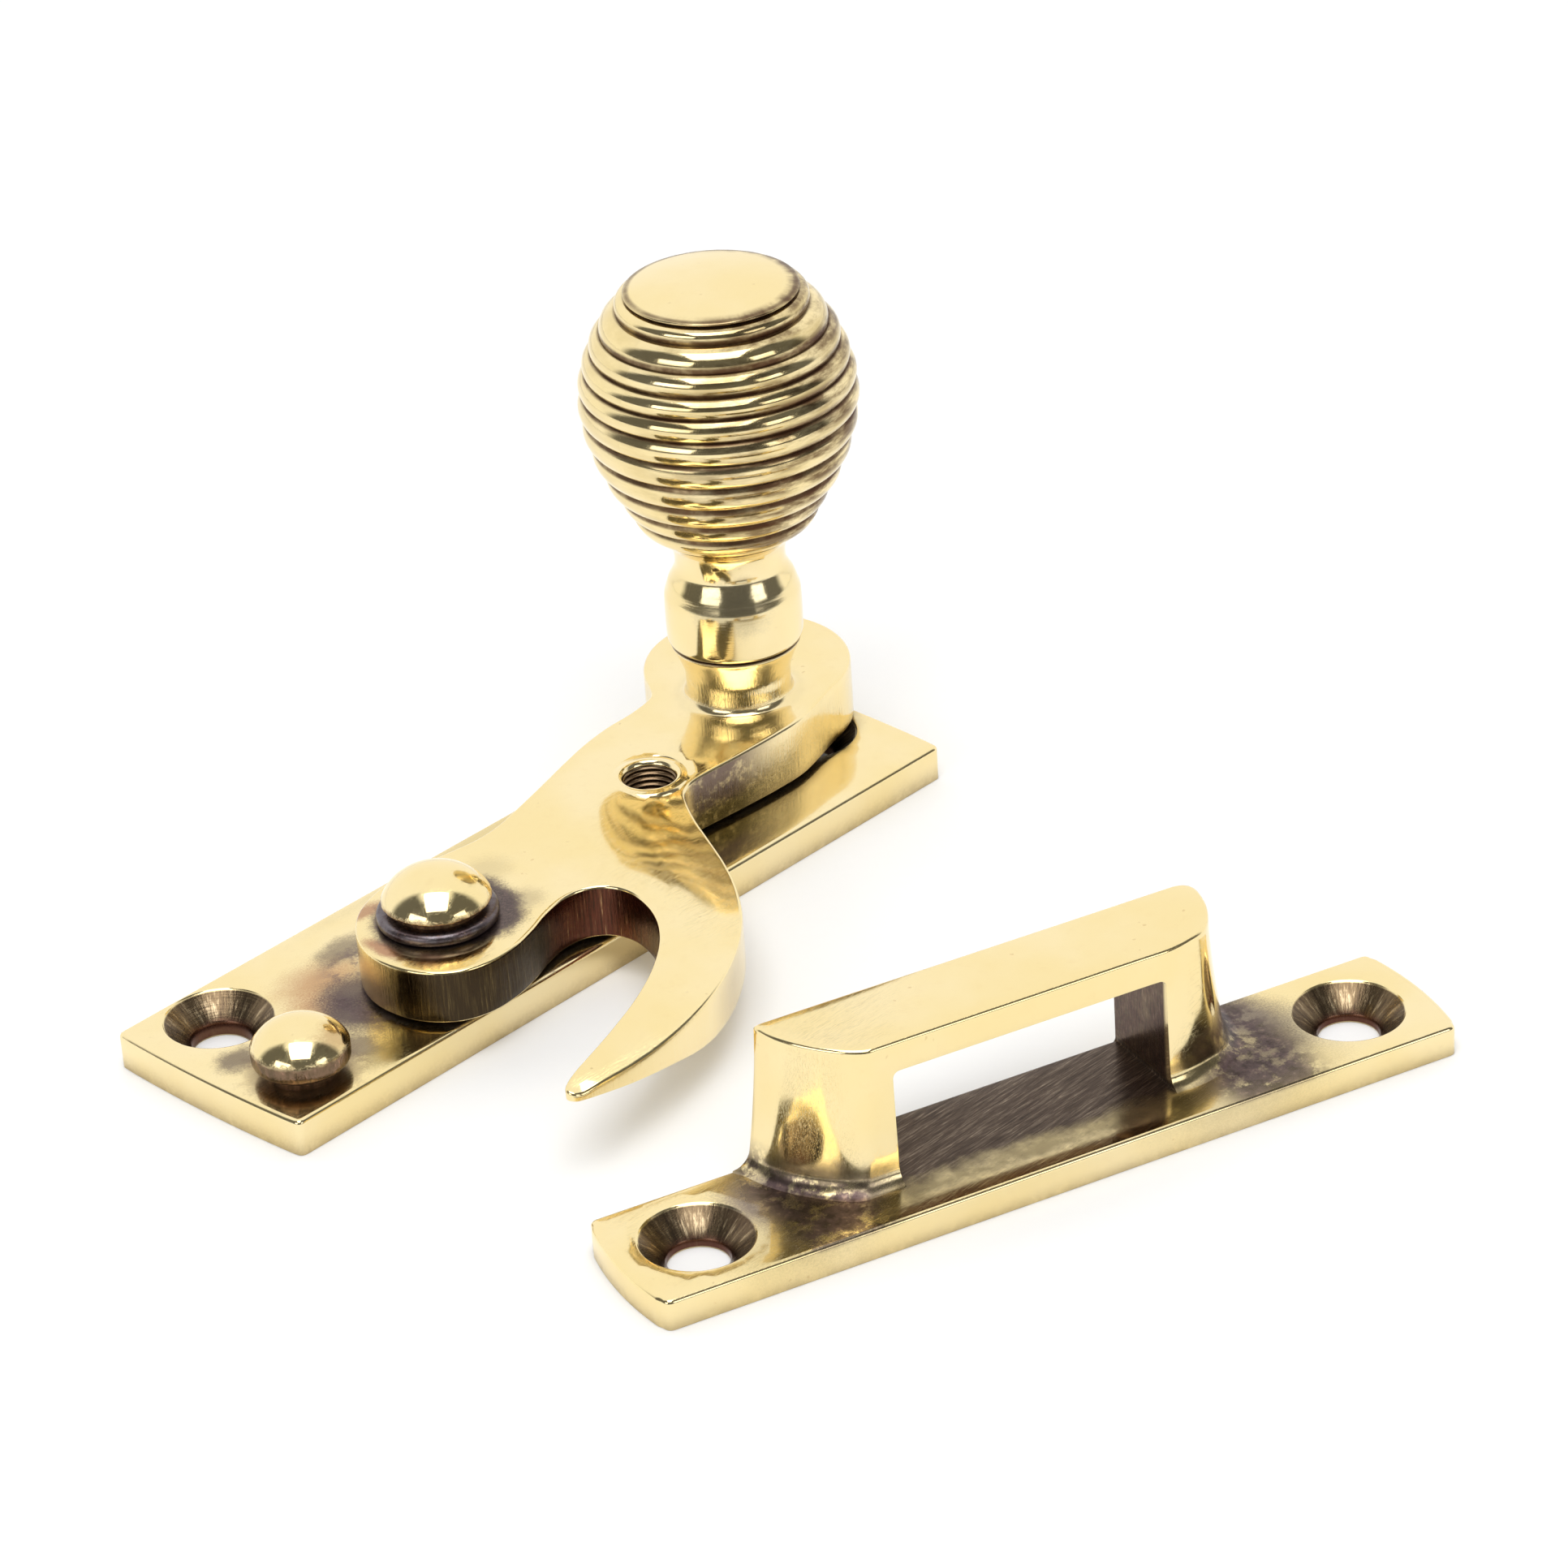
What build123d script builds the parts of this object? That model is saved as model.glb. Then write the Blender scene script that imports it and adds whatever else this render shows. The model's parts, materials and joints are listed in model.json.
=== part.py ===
from build123d import *
import math
import os

# Sash window hook fastener with a beehive knob, and its separate keep.
# Units mm. Frame: origin on the mounting face (z = 0) at the axis of the pivot post,
# +X along the base plate from the pivot towards the knob, +Y away from the hook, +Z up.
# The lever is drawn closed: arm along the plate, hook reaching out over -Y.

# ---------------- shared sizes ----------------
CSK_R = 4.2                   # countersink mouth radius (No. 8 screw head)
SCREW_R = 2.3                 # screw clearance hole radius
CSK_DEPTH = CSK_R - SCREW_R   # 45 degree countersink
PLATE_EDGE = 0.35             # softened upper edge of base plate and keep
OVERCUT = 1.0                 # how far cutters run past a plate
CUT_TOP = 20.0                # upper end of the cutters through washers and lever
PLAY = 0.04                   # running clearance in height

# ---------------- base plate ----------------
PLATE_X_MIN, PLATE_X_MAX = -21.2, 49.2
PLATE_Y_MID = 3.5
PLATE_W = 20.2
PLATE_T = 3.0
PLATE_BOW = 0.35              # the filed ends are slightly bowed
PLATE_CORNER_R = 0.5          # corner radius in plan
HOLE_NEAR = (-15.0, 8.95)     # screw hole beside the stop stud
HOLE_FAR = (44.0, PLATE_Y_MID)  # screw hole under the knob
DIMPLE_R, DIMPLE_D = 2.3, 1.3   # blind recess that takes the lock screw
DIMPLE_FLOOR_R = DIMPLE_R - 0.8
DIMPLE_CONE_H = 0.4           # tapered bottom of the recess

# ---------------- lever heights ----------------
LEVER_Z0, LEVER_Z1 = 3.45, 7.95   # underside and top of the lever at the pivot
LEVER_RISE = 0.65                 # the top rises by this much towards the knob end
LEVER_KNOB_Z = LEVER_Z1 + LEVER_RISE

# ---------------- pivot post and washers ----------------
PIVOT_XY = (0, 0)
POST_R = 3.0                  # shank
RIVET_R, RIVET_D = 4.0, 1.0   # flared tail under the plate
DOME_ANGLE = 70.0             # a crown meets its rim short of upright
DOME_STEPS = 6
HEAD_R, HEAD_H = 4.25, 2.45   # dome of the post
HEAD_Z = 9.85                 # height of the dome's rim
HEAD_RIM = 0.27               # thickness of the rim
RIM_CHAMFER = 0.12
NECK_R = 3.55                 # groove between dome and washer
WASHER_R, WASHER_T = 4.7, 1.0   # washer below the dome
WASHER_EDGE = 0.3
WASHER_Z0 = LEVER_Z1 + PLAY
WASHER_Z1 = WASHER_Z0 + WASHER_T
SPACER_R = 5.7                # thin washer between plate and lever

# ---------------- stop stud ----------------
STOP_XY = (-16.1, -1.6)
STOP_R = 3.75
STOP_RIM_Z = 5.45
STOP_UNDER_Z = 4.3            # where the side starts to curl under
STOP_NECK_R = 2.8
STOP_TOP_Z = 7.45
STOP_SHANK_R = 1.6
STOP_TAIL = 0.8               # depth and widening of the flared tail

# ---------------- lever ----------------
LEVER_BLANK_H = 8.0
EYE_BORE_R = 3.05
LEVER_EDGE_R = 0.4
LOCK_XY = (24.95, 2.0)        # hole for the lock screw
LOCK_R, LOCK_MOUTH_R = 2.1, 2.85
LOCK_TOP_Z = LEVER_Z1 + 0.33  # height at which the countersink has its mouth radius
LOCK_OVERCUT = 0.4            # the cone runs on above its mouth
KNOB_XY = (38.9, 5.4)         # axis of the knob
DISC_XY, DISC_R = (42.9, 8.4), 8.42   # round end of the lever
DISC_ANGLES = (-80, -55, -28, 0, 30, 60, 90, 115, 140, 160)   # degrees from +X
BOSS_TOP_Z = 13.7             # joint between boss and knob
BOSS_FOOT_R = 5.9
BOSS_ROOT = 0.5               # how far the boss is sunk into the lever
TIP_Z = 6.6                   # height of the underside at the tip of the hook
HOOK_CUT_Y = -12.0            # the underside is cut away from here towards -Y
HOOK_CUT_LENGTH = 20.0

# Plan outline (x, y): left of the eye, round it at -Y, then along the throat to the hook tip
EYE_AND_THROAT = [
    (-5.6, 3.1), (-6.75, 0.6), (-6.95, -1.9), (-6.3, -4.5), (-4.6, -6.6), (-2.2, -7.55),
    (0.8, -7.45), (3.4, -6.75), (5.7, -5.9), (8.0, -5.45), (9.9, -5.8), (11.2, -6.95),
    (11.65, -8.9), (11.1, -11.2), (9.9, -13.4), (7.9, -15.6), (4.9, -17.8), (1.2, -19.75),
    (-2.8, -21.3), (-7.0, -22.7), (-9.9, -23.65)]
HOOK_TIP = (-10.75, -24.55)
# Outer edge of the hook, from the tip back to the arm
HOOK_OUTER = [
    (-9.8, -25.3), (-6.2, -25.5), (-0.6, -24.95), (5.4, -23.5), (10.2, -21.2), (14.6, -17.9),
    (17.4, -14.7), (19.5, -11.5), (21.4, -7.9), (22.9, -5.0), (24.3, -2.7)]
HOOK_ARM_CORNER = (25.2, -1.65)
# -Y edge of the arm up to the disc, then its +Y edge from the disc back to the eye
ARM_LOWER = [(26.6, -1.3), (31.6, -1.6), (35.6, -1.75), (38.6, -1.6)]
ARM_UPPER = [
    (34.1, 10.8), (31.4, 10.2), (28.4, 10.15), (25.6, 9.8), (22.6, 9.1), (18.6, 8.0),
    (14.8, 7.0), (12.4, 6.45), (10.2, 6.3), (7.6, 6.6), (4.8, 7.0), (2.0, 7.05),
    (-0.8, 6.6), (-3.5, 5.3), (-5.6, 3.1)]
# Rise of the lever's top (x, z), from the knob end to the eye
TOP_RISE = [(42, LEVER_KNOB_Z), (25, LEVER_Z1 + LEVER_RISE / 2), (8, LEVER_Z1)]
# Underside of the hook (x, z), lifting towards the tip
HOOK_UNDERSIDE = [(7.5, LEVER_Z0), (-0.6, 4.75), (-9.5, TIP_Z), (-14, TIP_Z + 0.5)]
# Flare of the boss (radius, z), from the joint down to the lever
BOSS_FLARE = [
    (5.25, BOSS_TOP_Z - 0.25), (4.75, BOSS_TOP_Z - 2.0), (4.2, LEVER_KNOB_Z + 1.35),
    (4.55, LEVER_KNOB_Z + 0.5), (BOSS_FOOT_R, LEVER_KNOB_Z - 0.02)]

# ---------------- threaded stud joining lever and knob ----------------
THREAD_R = 2.5
THREAD_Z0, THREAD_Z1 = BOSS_TOP_Z - 6.5, BOSS_TOP_Z + 8.0   # ends of its hole
THREAD_GAP = 0.3              # the stud stops this far short of each end
THREAD_CHAMFER = 0.4

# ---------------- knob (heights above its underside) ----------------
KNOB_Z0 = BOSS_TOP_Z + 0.05   # hairline joint above the boss
KNOB_TOP = 31.2
COLLAR_R = 5.48
KNOB_NECK_R = 4.42
# (height, envelope radius) of each groove, from the cap down to the neck
GROOVES = [
    (30.3, 6.90), (29.15, 7.80), (27.4, 9.20), (25.65, 9.98), (24.0, 10.58), (22.15, 10.91),
    (20.05, 10.86), (17.8, 10.38), (15.55, 9.55), (13.5, 8.50), (11.7, 7.30)]
GROOVE_D = 0.42               # groove depth below the envelope
GROOVE_FLOOR = 0.8            # share of that depth at the groove point itself
BEAD_H = 0.16                 # bead crest above the envelope
BEAD_STEPS = (0.10, 0.2, 0.32, 0.5, 0.68, 0.8, 0.90)   # fractions of the groove spacing
BEAD_FULLNESS = 0.62          # exponent, below 1 for a fuller bead
CAP_STEPS = 8
CAP_INSET = 0.15              # the cap's arc ends this far inside the top groove radius

# ---------------- lock screw ----------------
GRUB_R = LOCK_R - 0.05
GRUB_Z0 = PLATE_T + 0.05
GRUB_Z1 = GRUB_Z0 + 2.5
GRUB_CHAMFER = 0.25
SOCKET_R, SOCKET_D = 1.15, 1.3   # hexagon over its corners, and its depth

# ---------------- keep (drawn about its own centre, then turned and placed) ----------------
KEEP_XY = (12.62, -48.1)
KEEP_ANGLE = -18.9
KEEP_L, KEEP_W, KEEP_T = 65.6, 12.2, 2.5
KEEP_BOW, KEEP_CORNER_R = 0.7, 0.6
KEEP_HOLE_X = 27.2            # screw holes at +- this from the centre
KEEP_TOP = 14.0               # height of the loop
BAR_T = 2.45                  # thickness of the loop's bar
LOOP_X_MIN, LOOP_X_MAX = -18.9, 17.25
LOOP_Y_MIN = -1.5
LOOP_Y_MAX = KEEP_W / 2 - 0.02   # all but flush with the plate's +Y edge
WINDOW_X_MIN, WINDOW_X_MAX = -11.75, 10.75   # opening of the loop
WINDOW_R = 0.55
ROOT_R = 0.9                  # fillet where the loop meets the plate
HEAD_CLEARANCE_H = 2.5        # room cut above each countersink
# Loop sections: z, growth at each end in X, growth towards -Y, corner length
LOOP_SECTIONS = [
    (KEEP_T - 0.6, 1.35, 0.35, 6.6),
    (KEEP_T + 4.5, 0.62, 0.1, 6.4),
    (KEEP_TOP, 0, 0, 6.2)]


# ---------------- helpers ----------------
def cylinder(xy, radius, z0, z1):
    return Pos(*xy, (z0 + z1) / 2) * Cylinder(radius, z1 - z0)


def cone(xy, radius0, z0, radius1, z1):
    """Cone frustum from radius0 at z0 up to radius1 at z1."""
    return Pos(*xy, (z0 + z1) / 2) * Cone(radius0, radius1, z1 - z0)


def turned(outline, curve=(), tangents=(), xy=(0, 0)):
    """Solid of revolution about a vertical axis from (radius, z) points.

    The straight outline is closed by the curve, or by a straight line without one.
    """
    with BuildPart() as solid:
        with BuildSketch(Plane.XZ):
            with BuildLine():
                Polyline(*outline, close=not curve)
                if curve:
                    Spline(*curve, tangents=tangents)
            make_face()
        revolve(axis=Axis.Z)
    return Pos(*xy, 0) * solid.part


def dome(radius, z, height):
    """Part of an ellipse from the rim of a dome to its crown, and its end tangents."""
    rim = math.radians(DOME_ANGLE)
    drop = 1 - math.cos(rim)
    points = []
    for i in range(DOME_STEPS + 1):
        angle = rim * (1 - i / DOME_STEPS)
        points.append((radius * math.sin(angle) / math.sin(rim),
                       z + height * (math.cos(angle) - math.cos(rim)) / drop))
    start = (-radius * math.cos(rim) / math.sin(rim), height * math.sin(rim) / drop)
    return points, (start, (-1, 0))


def bowed_plate(x_min, x_max, y_mid, width, thickness, bow, corner_r):
    """Flat plate with bowed ends, rounded corners and a softened upper edge."""
    y_min, y_max = y_mid - width / 2, y_mid + width / 2
    with BuildSketch() as plan:
        with BuildLine():
            Line((x_min, y_min), (x_max, y_min))
            ThreePointArc((x_max, y_min), (x_max + bow, y_mid), (x_max, y_max))
            Line((x_max, y_max), (x_min, y_max))
            ThreePointArc((x_min, y_max), (x_min - bow, y_mid), (x_min, y_min))
        make_face()
        fillet(plan.vertices(), corner_r)
    plate = extrude(plan.sketch, thickness)
    return fillet(plate.edges().group_by(Axis.Z)[-1], PLATE_EDGE)


def cut_screw_hole(plate, xy, thickness):
    plate -= cylinder(xy, SCREW_R, -OVERCUT, thickness + OVERCUT)
    return plate - cone(xy, SCREW_R, thickness - CSK_DEPTH, CSK_R, thickness)


def fillet_if_possible(shape, edges, radius):
    """Guards against a fillet the kernel cannot build: the edges then stay sharp."""
    try:
        return fillet(edges, radius)
    except Exception:
        return shape


# ---------------- pieces ----------------
def base_plate():
    plate = bowed_plate(PLATE_X_MIN, PLATE_X_MAX, PLATE_Y_MID, PLATE_W, PLATE_T,
                        PLATE_BOW, PLATE_CORNER_R)
    for xy in (HOLE_NEAR, HOLE_FAR):
        plate = cut_screw_hole(plate, xy, PLATE_T)
    # holes for the post and the stop stud, flared for their tails
    plate -= cylinder(PIVOT_XY, POST_R, -OVERCUT, PLATE_T + OVERCUT)
    plate -= cone(PIVOT_XY, RIVET_R, 0, POST_R, RIVET_D)
    plate -= cylinder(STOP_XY, STOP_SHANK_R, -OVERCUT, PLATE_T + OVERCUT)
    plate -= cone(STOP_XY, STOP_SHANK_R + STOP_TAIL, 0, STOP_SHANK_R, STOP_TAIL)
    # recess for the lock screw
    floor_z = PLATE_T - DIMPLE_D
    plate -= cylinder(LOCK_XY, DIMPLE_R, floor_z + DIMPLE_CONE_H, PLATE_T + OVERCUT)
    return plate - cone(LOCK_XY, DIMPLE_FLOOR_R, floor_z, DIMPLE_R, floor_z + DIMPLE_CONE_H)


def pivot_post():
    """Riveted tail, shank, neck and dome in one piece."""
    rim_z = HEAD_Z - HEAD_RIM
    outline = [
        (0, HEAD_Z + HEAD_H), (0, 0), (RIVET_R, 0), (POST_R, RIVET_D), (POST_R, WASHER_Z1),
        (NECK_R, WASHER_Z1), (NECK_R, rim_z), (HEAD_R - RIM_CHAMFER, rim_z),
        (HEAD_R, rim_z + RIM_CHAMFER), (HEAD_R, HEAD_Z)]
    return turned(outline, *dome(HEAD_R, HEAD_Z, HEAD_H))


def washer(radius, z0, z1):
    return cylinder(PIVOT_XY, radius, z0, z1) - cylinder(PIVOT_XY, POST_R, 0, CUT_TOP)


def head_washer():
    ring = washer(WASHER_R, WASHER_Z0, WASHER_Z1)
    outer_edges = ring.edges().filter_by(GeomType.CIRCLE).sort_by(SortBy.RADIUS)[-2:]
    return fillet(outer_edges, WASHER_EDGE)


def spacer_washer():
    return washer(SPACER_R, PLATE_T, LEVER_Z0 - PLAY)


def stop_stud():
    outline = [
        (0, STOP_TOP_Z), (0, 0), (STOP_SHANK_R + STOP_TAIL, 0), (STOP_SHANK_R, STOP_TAIL),
        (STOP_SHANK_R, PLATE_T), (STOP_NECK_R, PLATE_T), (STOP_NECK_R, STOP_UNDER_Z - 0.7),
        (STOP_R - 0.45, STOP_UNDER_Z - 0.5), (STOP_R - 0.12, STOP_UNDER_Z - 0.25),
        (STOP_R, STOP_UNDER_Z), (STOP_R, STOP_RIM_Z)]
    return turned(outline, *dome(STOP_R, STOP_RIM_Z, STOP_TOP_Z - STOP_RIM_Z), xy=STOP_XY)


def lever_blank():
    """Plan outline of the lever, extruded."""
    disc = []
    for degrees in DISC_ANGLES:
        angle = math.radians(degrees)
        disc.append((DISC_XY[0] + DISC_R * math.cos(angle),
                     DISC_XY[1] + DISC_R * math.sin(angle)))
    with BuildSketch() as plan:
        with BuildLine():
            Spline(*EYE_AND_THROAT)
            ThreePointArc(EYE_AND_THROAT[-1], HOOK_TIP, HOOK_OUTER[0])
            Spline(*HOOK_OUTER)
            ThreePointArc(HOOK_OUTER[-1], HOOK_ARM_CORNER, ARM_LOWER[0])
            Spline(*ARM_LOWER, *disc, *ARM_UPPER)
        make_face()
    return extrude(Pos(0, 0, LEVER_Z0) * plan.sketch, LEVER_BLANK_H)


def lever_side():
    """Side profile: top flat over the eye and rising a little towards the knob."""
    with BuildSketch(Plane.XZ) as side:
        with BuildLine():
            Polyline((-20, 0), (60, 0), (60, LEVER_KNOB_Z), TOP_RISE[0])
            Spline(*TOP_RISE, tangents=[(-1, 0), (-1, 0)])
            Polyline(TOP_RISE[-1], (-20, LEVER_Z1), (-20, 0))
        make_face()
    return extrude(side.sketch, 60, both=True)


def hook_underside():
    """Cutter that lifts the underside of the hook towards its tip."""
    start, end = HOOK_UNDERSIDE[0], HOOK_UNDERSIDE[-1]
    with BuildSketch(Plane.XZ.offset(-HOOK_CUT_Y)) as side:
        with BuildLine():
            Spline(*HOOK_UNDERSIDE, tangents=[(-1, 0), (-1, 0.1)])
            Polyline(end, (end[0], 0), (start[0], 0), start)
        make_face()
    return extrude(side.sketch, HOOK_CUT_LENGTH)


def boss():
    """Flared boss under the knob."""
    root_z = LEVER_KNOB_Z - BOSS_ROOT
    outline = [BOSS_FLARE[-1], (BOSS_FOOT_R, root_z), (0, root_z), (0, BOSS_TOP_Z),
               (5.05, BOSS_TOP_Z), BOSS_FLARE[0]]
    return turned(outline, BOSS_FLARE, [(-0.15, -1), (1, -0.12)], xy=KNOB_XY)


def hook_lever():
    lever = lever_blank() & lever_side()
    lever -= hook_underside()
    top_edges = lever.edges().filter_by(lambda edge: edge.center().Z > LEVER_Z1 - 0.2)
    lever = fillet_if_possible(lever, top_edges, LEVER_EDGE_R)
    lever += boss()
    lever -= cylinder(PIVOT_XY, EYE_BORE_R, 0, CUT_TOP)
    lever -= cylinder(LOCK_XY, LOCK_R, 0, CUT_TOP)
    lever -= cone(LOCK_XY, LOCK_R, LOCK_TOP_Z - (LOCK_MOUTH_R - LOCK_R),
                  LOCK_MOUTH_R + LOCK_OVERCUT, LOCK_TOP_Z + LOCK_OVERCUT)
    return lever - cylinder(KNOB_XY, THREAD_R, THREAD_Z0, BOSS_TOP_Z + OVERCUT)


def knob_stud():
    stud = cylinder(KNOB_XY, THREAD_R, THREAD_Z0 + THREAD_GAP, THREAD_Z1 - THREAD_GAP)
    return chamfer(stud.edges().filter_by(GeomType.CIRCLE), THREAD_CHAMFER)


def knob_cap():
    """Shallow domed cap, from the axis out to the top groove."""
    z, radius = GROOVES[0]
    height = KNOB_TOP - z - 0.15
    sphere_r = (radius ** 2 + height ** 2) / (2 * height)
    end_angle = math.asin((radius - CAP_INSET) / sphere_r)
    points = []
    for i in range(CAP_STEPS + 1):
        angle = end_angle * i / CAP_STEPS
        points.append((sphere_r * math.sin(angle),
                       KNOB_TOP - sphere_r + sphere_r * math.cos(angle)))
    return points + [(radius, z + 0.05), (radius - GROOVE_D * 0.6, z - 0.12)]


def knob_beads():
    """One bead between each pair of grooves, each followed by its groove point."""
    points = []
    for (z_a, radius_a), (z_b, radius_b) in zip(GROOVES[:-1], GROOVES[1:]):
        run, rise = radius_b - radius_a, z_b - z_a
        length = math.hypot(run, rise)
        normal_r, normal_z = -rise / length, run / length   # outward from the envelope
        for step in BEAD_STEPS:
            swell = math.sin(math.pi * step) ** BEAD_FULLNESS
            height = (BEAD_H + GROOVE_D) * swell - GROOVE_D
            points.append((radius_a + run * step + normal_r * height,
                           z_a + rise * step + normal_z * height))
        floor = GROOVE_D * GROOVE_FLOOR
        points.append((radius_b - floor * normal_r, z_b - floor * normal_z))
    return points


def knob_foot():
    """Underside of the lowest bead, neck and collar, down to the joint."""
    z, radius = GROOVES[-1]
    neck_z = z - 4.6          # level of the narrowest neck
    return [
        (radius + 0.05, z - 0.35), (radius - 0.25, z - 0.9), (radius - 0.95, z - 1.5),
        (radius - 1.8, z - 2.1), (radius - 2.45, z - 2.8),
        (KNOB_NECK_R + 0.08, z - 3.7), (KNOB_NECK_R, neck_z),
        (KNOB_NECK_R + 0.06, neck_z - 0.5), (KNOB_NECK_R + 0.3, neck_z - 1.1),
        (KNOB_NECK_R + 0.62, neck_z - 1.7),
        (COLLAR_R - 0.22, neck_z - 2.35), (COLLAR_R - 0.05, neck_z - 2.9),
        (COLLAR_R, neck_z - 3.5), (COLLAR_R, 1.2),
        (COLLAR_R - 0.04, 0.35), (COLLAR_R - 0.3, 0), (0, 0)]


def beehive_knob():
    profile = knob_cap() + knob_beads() + knob_foot()
    knob = turned([(radius, z + KNOB_Z0) for radius, z in profile], xy=KNOB_XY)
    return knob - cylinder(KNOB_XY, THREAD_R, 0, THREAD_Z1)


def lock_grub_screw():
    grub = cylinder(LOCK_XY, GRUB_R, GRUB_Z0, GRUB_Z1)
    grub = chamfer(grub.edges().filter_by(GeomType.CIRCLE), GRUB_CHAMFER)
    with BuildSketch(Plane.XY.offset(GRUB_Z1 - SOCKET_D)) as socket:
        with Locations(LOCK_XY):
            RegularPolygon(SOCKET_R, 6)
    return grub - extrude(socket.sketch, 2)


def loop_section(z, end_growth, side_growth, corner):
    """Plan of the loop: straight +Y side, sharp corner at -X +Y, large curves at -Y."""
    x_min, x_max = LOOP_X_MIN - end_growth, LOOP_X_MAX + end_growth
    y_min, y_max = LOOP_Y_MIN - side_growth, LOOP_Y_MAX
    depth = y_max - y_min
    with BuildSketch() as plan:
        with BuildLine():
            Line((x_min, y_max), (x_min + 0.05, y_max - 0.4))
            Spline((x_min + 0.05, y_max - 0.4),
                   (x_min + corner * 0.28, y_min + depth * 0.42),
                   (x_min + corner * 0.62, y_min + depth * 0.12),
                   (x_min + corner, y_min), tangents=[(0.25, -1), (1, 0)])
            Line((x_min + corner, y_min), (x_max - corner, y_min))
            Spline((x_max - corner, y_min),
                   (x_max - corner * 0.38, y_min + depth * 0.16),
                   (x_max - corner * 0.1, y_min + depth * 0.5),
                   (x_max, y_max - 1.2), tangents=[(1, 0), (0, 1)])
            Spline((x_max, y_max - 1.2), (x_max - 0.35, y_max - 0.3), (x_max - 1.2, y_max),
                   tangents=[(0, 1), (-1, 0)])
            Line((x_max - 1.2, y_max), (x_min, y_max))
        make_face()
    return (Pos(0, 0, z) * plan.sketch).faces()[0]


def keep_window():
    """Cutter for the opening, through the loop along Y."""
    window_top = KEEP_TOP - BAR_T
    window = Box(WINDOW_X_MAX - WINDOW_X_MIN, 40, window_top - KEEP_T)
    window = fillet(window.edges().filter_by(Axis.Y), WINDOW_R)
    return Pos((WINDOW_X_MIN + WINDOW_X_MAX) / 2, 0, (window_top + KEEP_T) / 2) * window


def is_loop_root(edge):
    """Long edge between loop and plate top, away from the flush +Y side."""
    center = edge.center()
    return (abs(center.Z - KEEP_T) < 0.02 and edge.length > 2
            and abs(center.Y) < KEEP_W / 2 - 0.6
            and LOOP_X_MIN - 3 < center.X < LOOP_X_MAX + 3)


def sash_keep():
    plate = bowed_plate(-KEEP_L / 2, KEEP_L / 2, 0, KEEP_W, KEEP_T, KEEP_BOW, KEEP_CORNER_R)
    keep = plate + loft([loop_section(*section) for section in LOOP_SECTIONS])
    root_edges = [edge for edge in keep.edges() if is_loop_root(edge)]
    keep = fillet_if_possible(keep, root_edges, ROOT_R)
    keep -= keep_window()
    for x in (-KEEP_HOLE_X, KEEP_HOLE_X):
        keep = cut_screw_hole(keep, (x, 0), KEEP_T)
        keep -= cylinder((x, 0), CSK_R, KEEP_T, KEEP_T + HEAD_CLEARANCE_H)
    return Pos(*KEEP_XY, 0) * Rot(0, 0, KEEP_ANGLE) * keep


# ---------------- export, each file named after its function ----------------
os.makedirs("parts", exist_ok=True)
for build in (base_plate, pivot_post, head_washer, spacer_washer, stop_stud, hook_lever,
              knob_stud, beehive_knob, lock_grub_screw, sash_keep):
    piece = build()
    piece.label = build.__name__
    export_step(piece, f"parts/{piece.label}.step")
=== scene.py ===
"""Brass sash fastener: a base plate with a hook lever and a beehive knob, and a separate keep.

Row frame: the plates lie flat with +Z up and the pivot post stands at the origin. The lever's arm
runs towards +X to the knob; its hook curls round through -Y until the tip points to -X.
Lengths are in millimetres until they are written to a mesh; lights and camera are in metres.
"""
import json
import math
from functools import cached_property, reduce

import bmesh
import bpy
import numpy as np
from mathutils import Matrix, Vector
from mathutils.geometry import delaunay_2d_cdt


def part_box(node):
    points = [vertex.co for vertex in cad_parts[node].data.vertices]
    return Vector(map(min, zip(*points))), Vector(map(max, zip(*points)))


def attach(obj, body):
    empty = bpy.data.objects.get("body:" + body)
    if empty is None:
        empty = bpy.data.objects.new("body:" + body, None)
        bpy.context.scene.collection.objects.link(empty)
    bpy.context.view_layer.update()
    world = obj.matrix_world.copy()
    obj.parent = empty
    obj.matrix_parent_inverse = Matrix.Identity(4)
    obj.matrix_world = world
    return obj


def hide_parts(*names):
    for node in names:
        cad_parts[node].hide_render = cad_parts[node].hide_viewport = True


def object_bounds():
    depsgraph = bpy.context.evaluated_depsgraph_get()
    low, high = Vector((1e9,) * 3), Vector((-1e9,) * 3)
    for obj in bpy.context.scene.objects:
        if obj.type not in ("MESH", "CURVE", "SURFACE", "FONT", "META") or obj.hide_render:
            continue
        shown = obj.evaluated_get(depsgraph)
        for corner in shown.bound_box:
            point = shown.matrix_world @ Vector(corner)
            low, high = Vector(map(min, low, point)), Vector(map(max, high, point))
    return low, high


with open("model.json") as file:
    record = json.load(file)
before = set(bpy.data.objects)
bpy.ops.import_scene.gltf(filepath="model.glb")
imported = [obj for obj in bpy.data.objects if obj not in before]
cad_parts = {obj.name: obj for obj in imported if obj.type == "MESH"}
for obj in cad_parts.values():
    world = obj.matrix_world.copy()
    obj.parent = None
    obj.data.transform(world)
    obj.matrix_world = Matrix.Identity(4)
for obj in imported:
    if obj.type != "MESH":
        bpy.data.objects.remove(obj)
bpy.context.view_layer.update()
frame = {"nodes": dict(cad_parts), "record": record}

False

MM = 0.001
TURN_SEG = 192                    # segments round a turned piece
KNOB_SEG = 288
HOLE_SEG = 96                     # segments round a hole


# ------------------------------------------------------------------ driving dimensions
def box_mm(node):
    low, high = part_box(node)
    return [v * 1000 for v in low], [v * 1000 for v in high]


def centre_xy(low, high):
    return ((low[0] + high[0]) / 2, (low[1] + high[1]) / 2)


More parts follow.
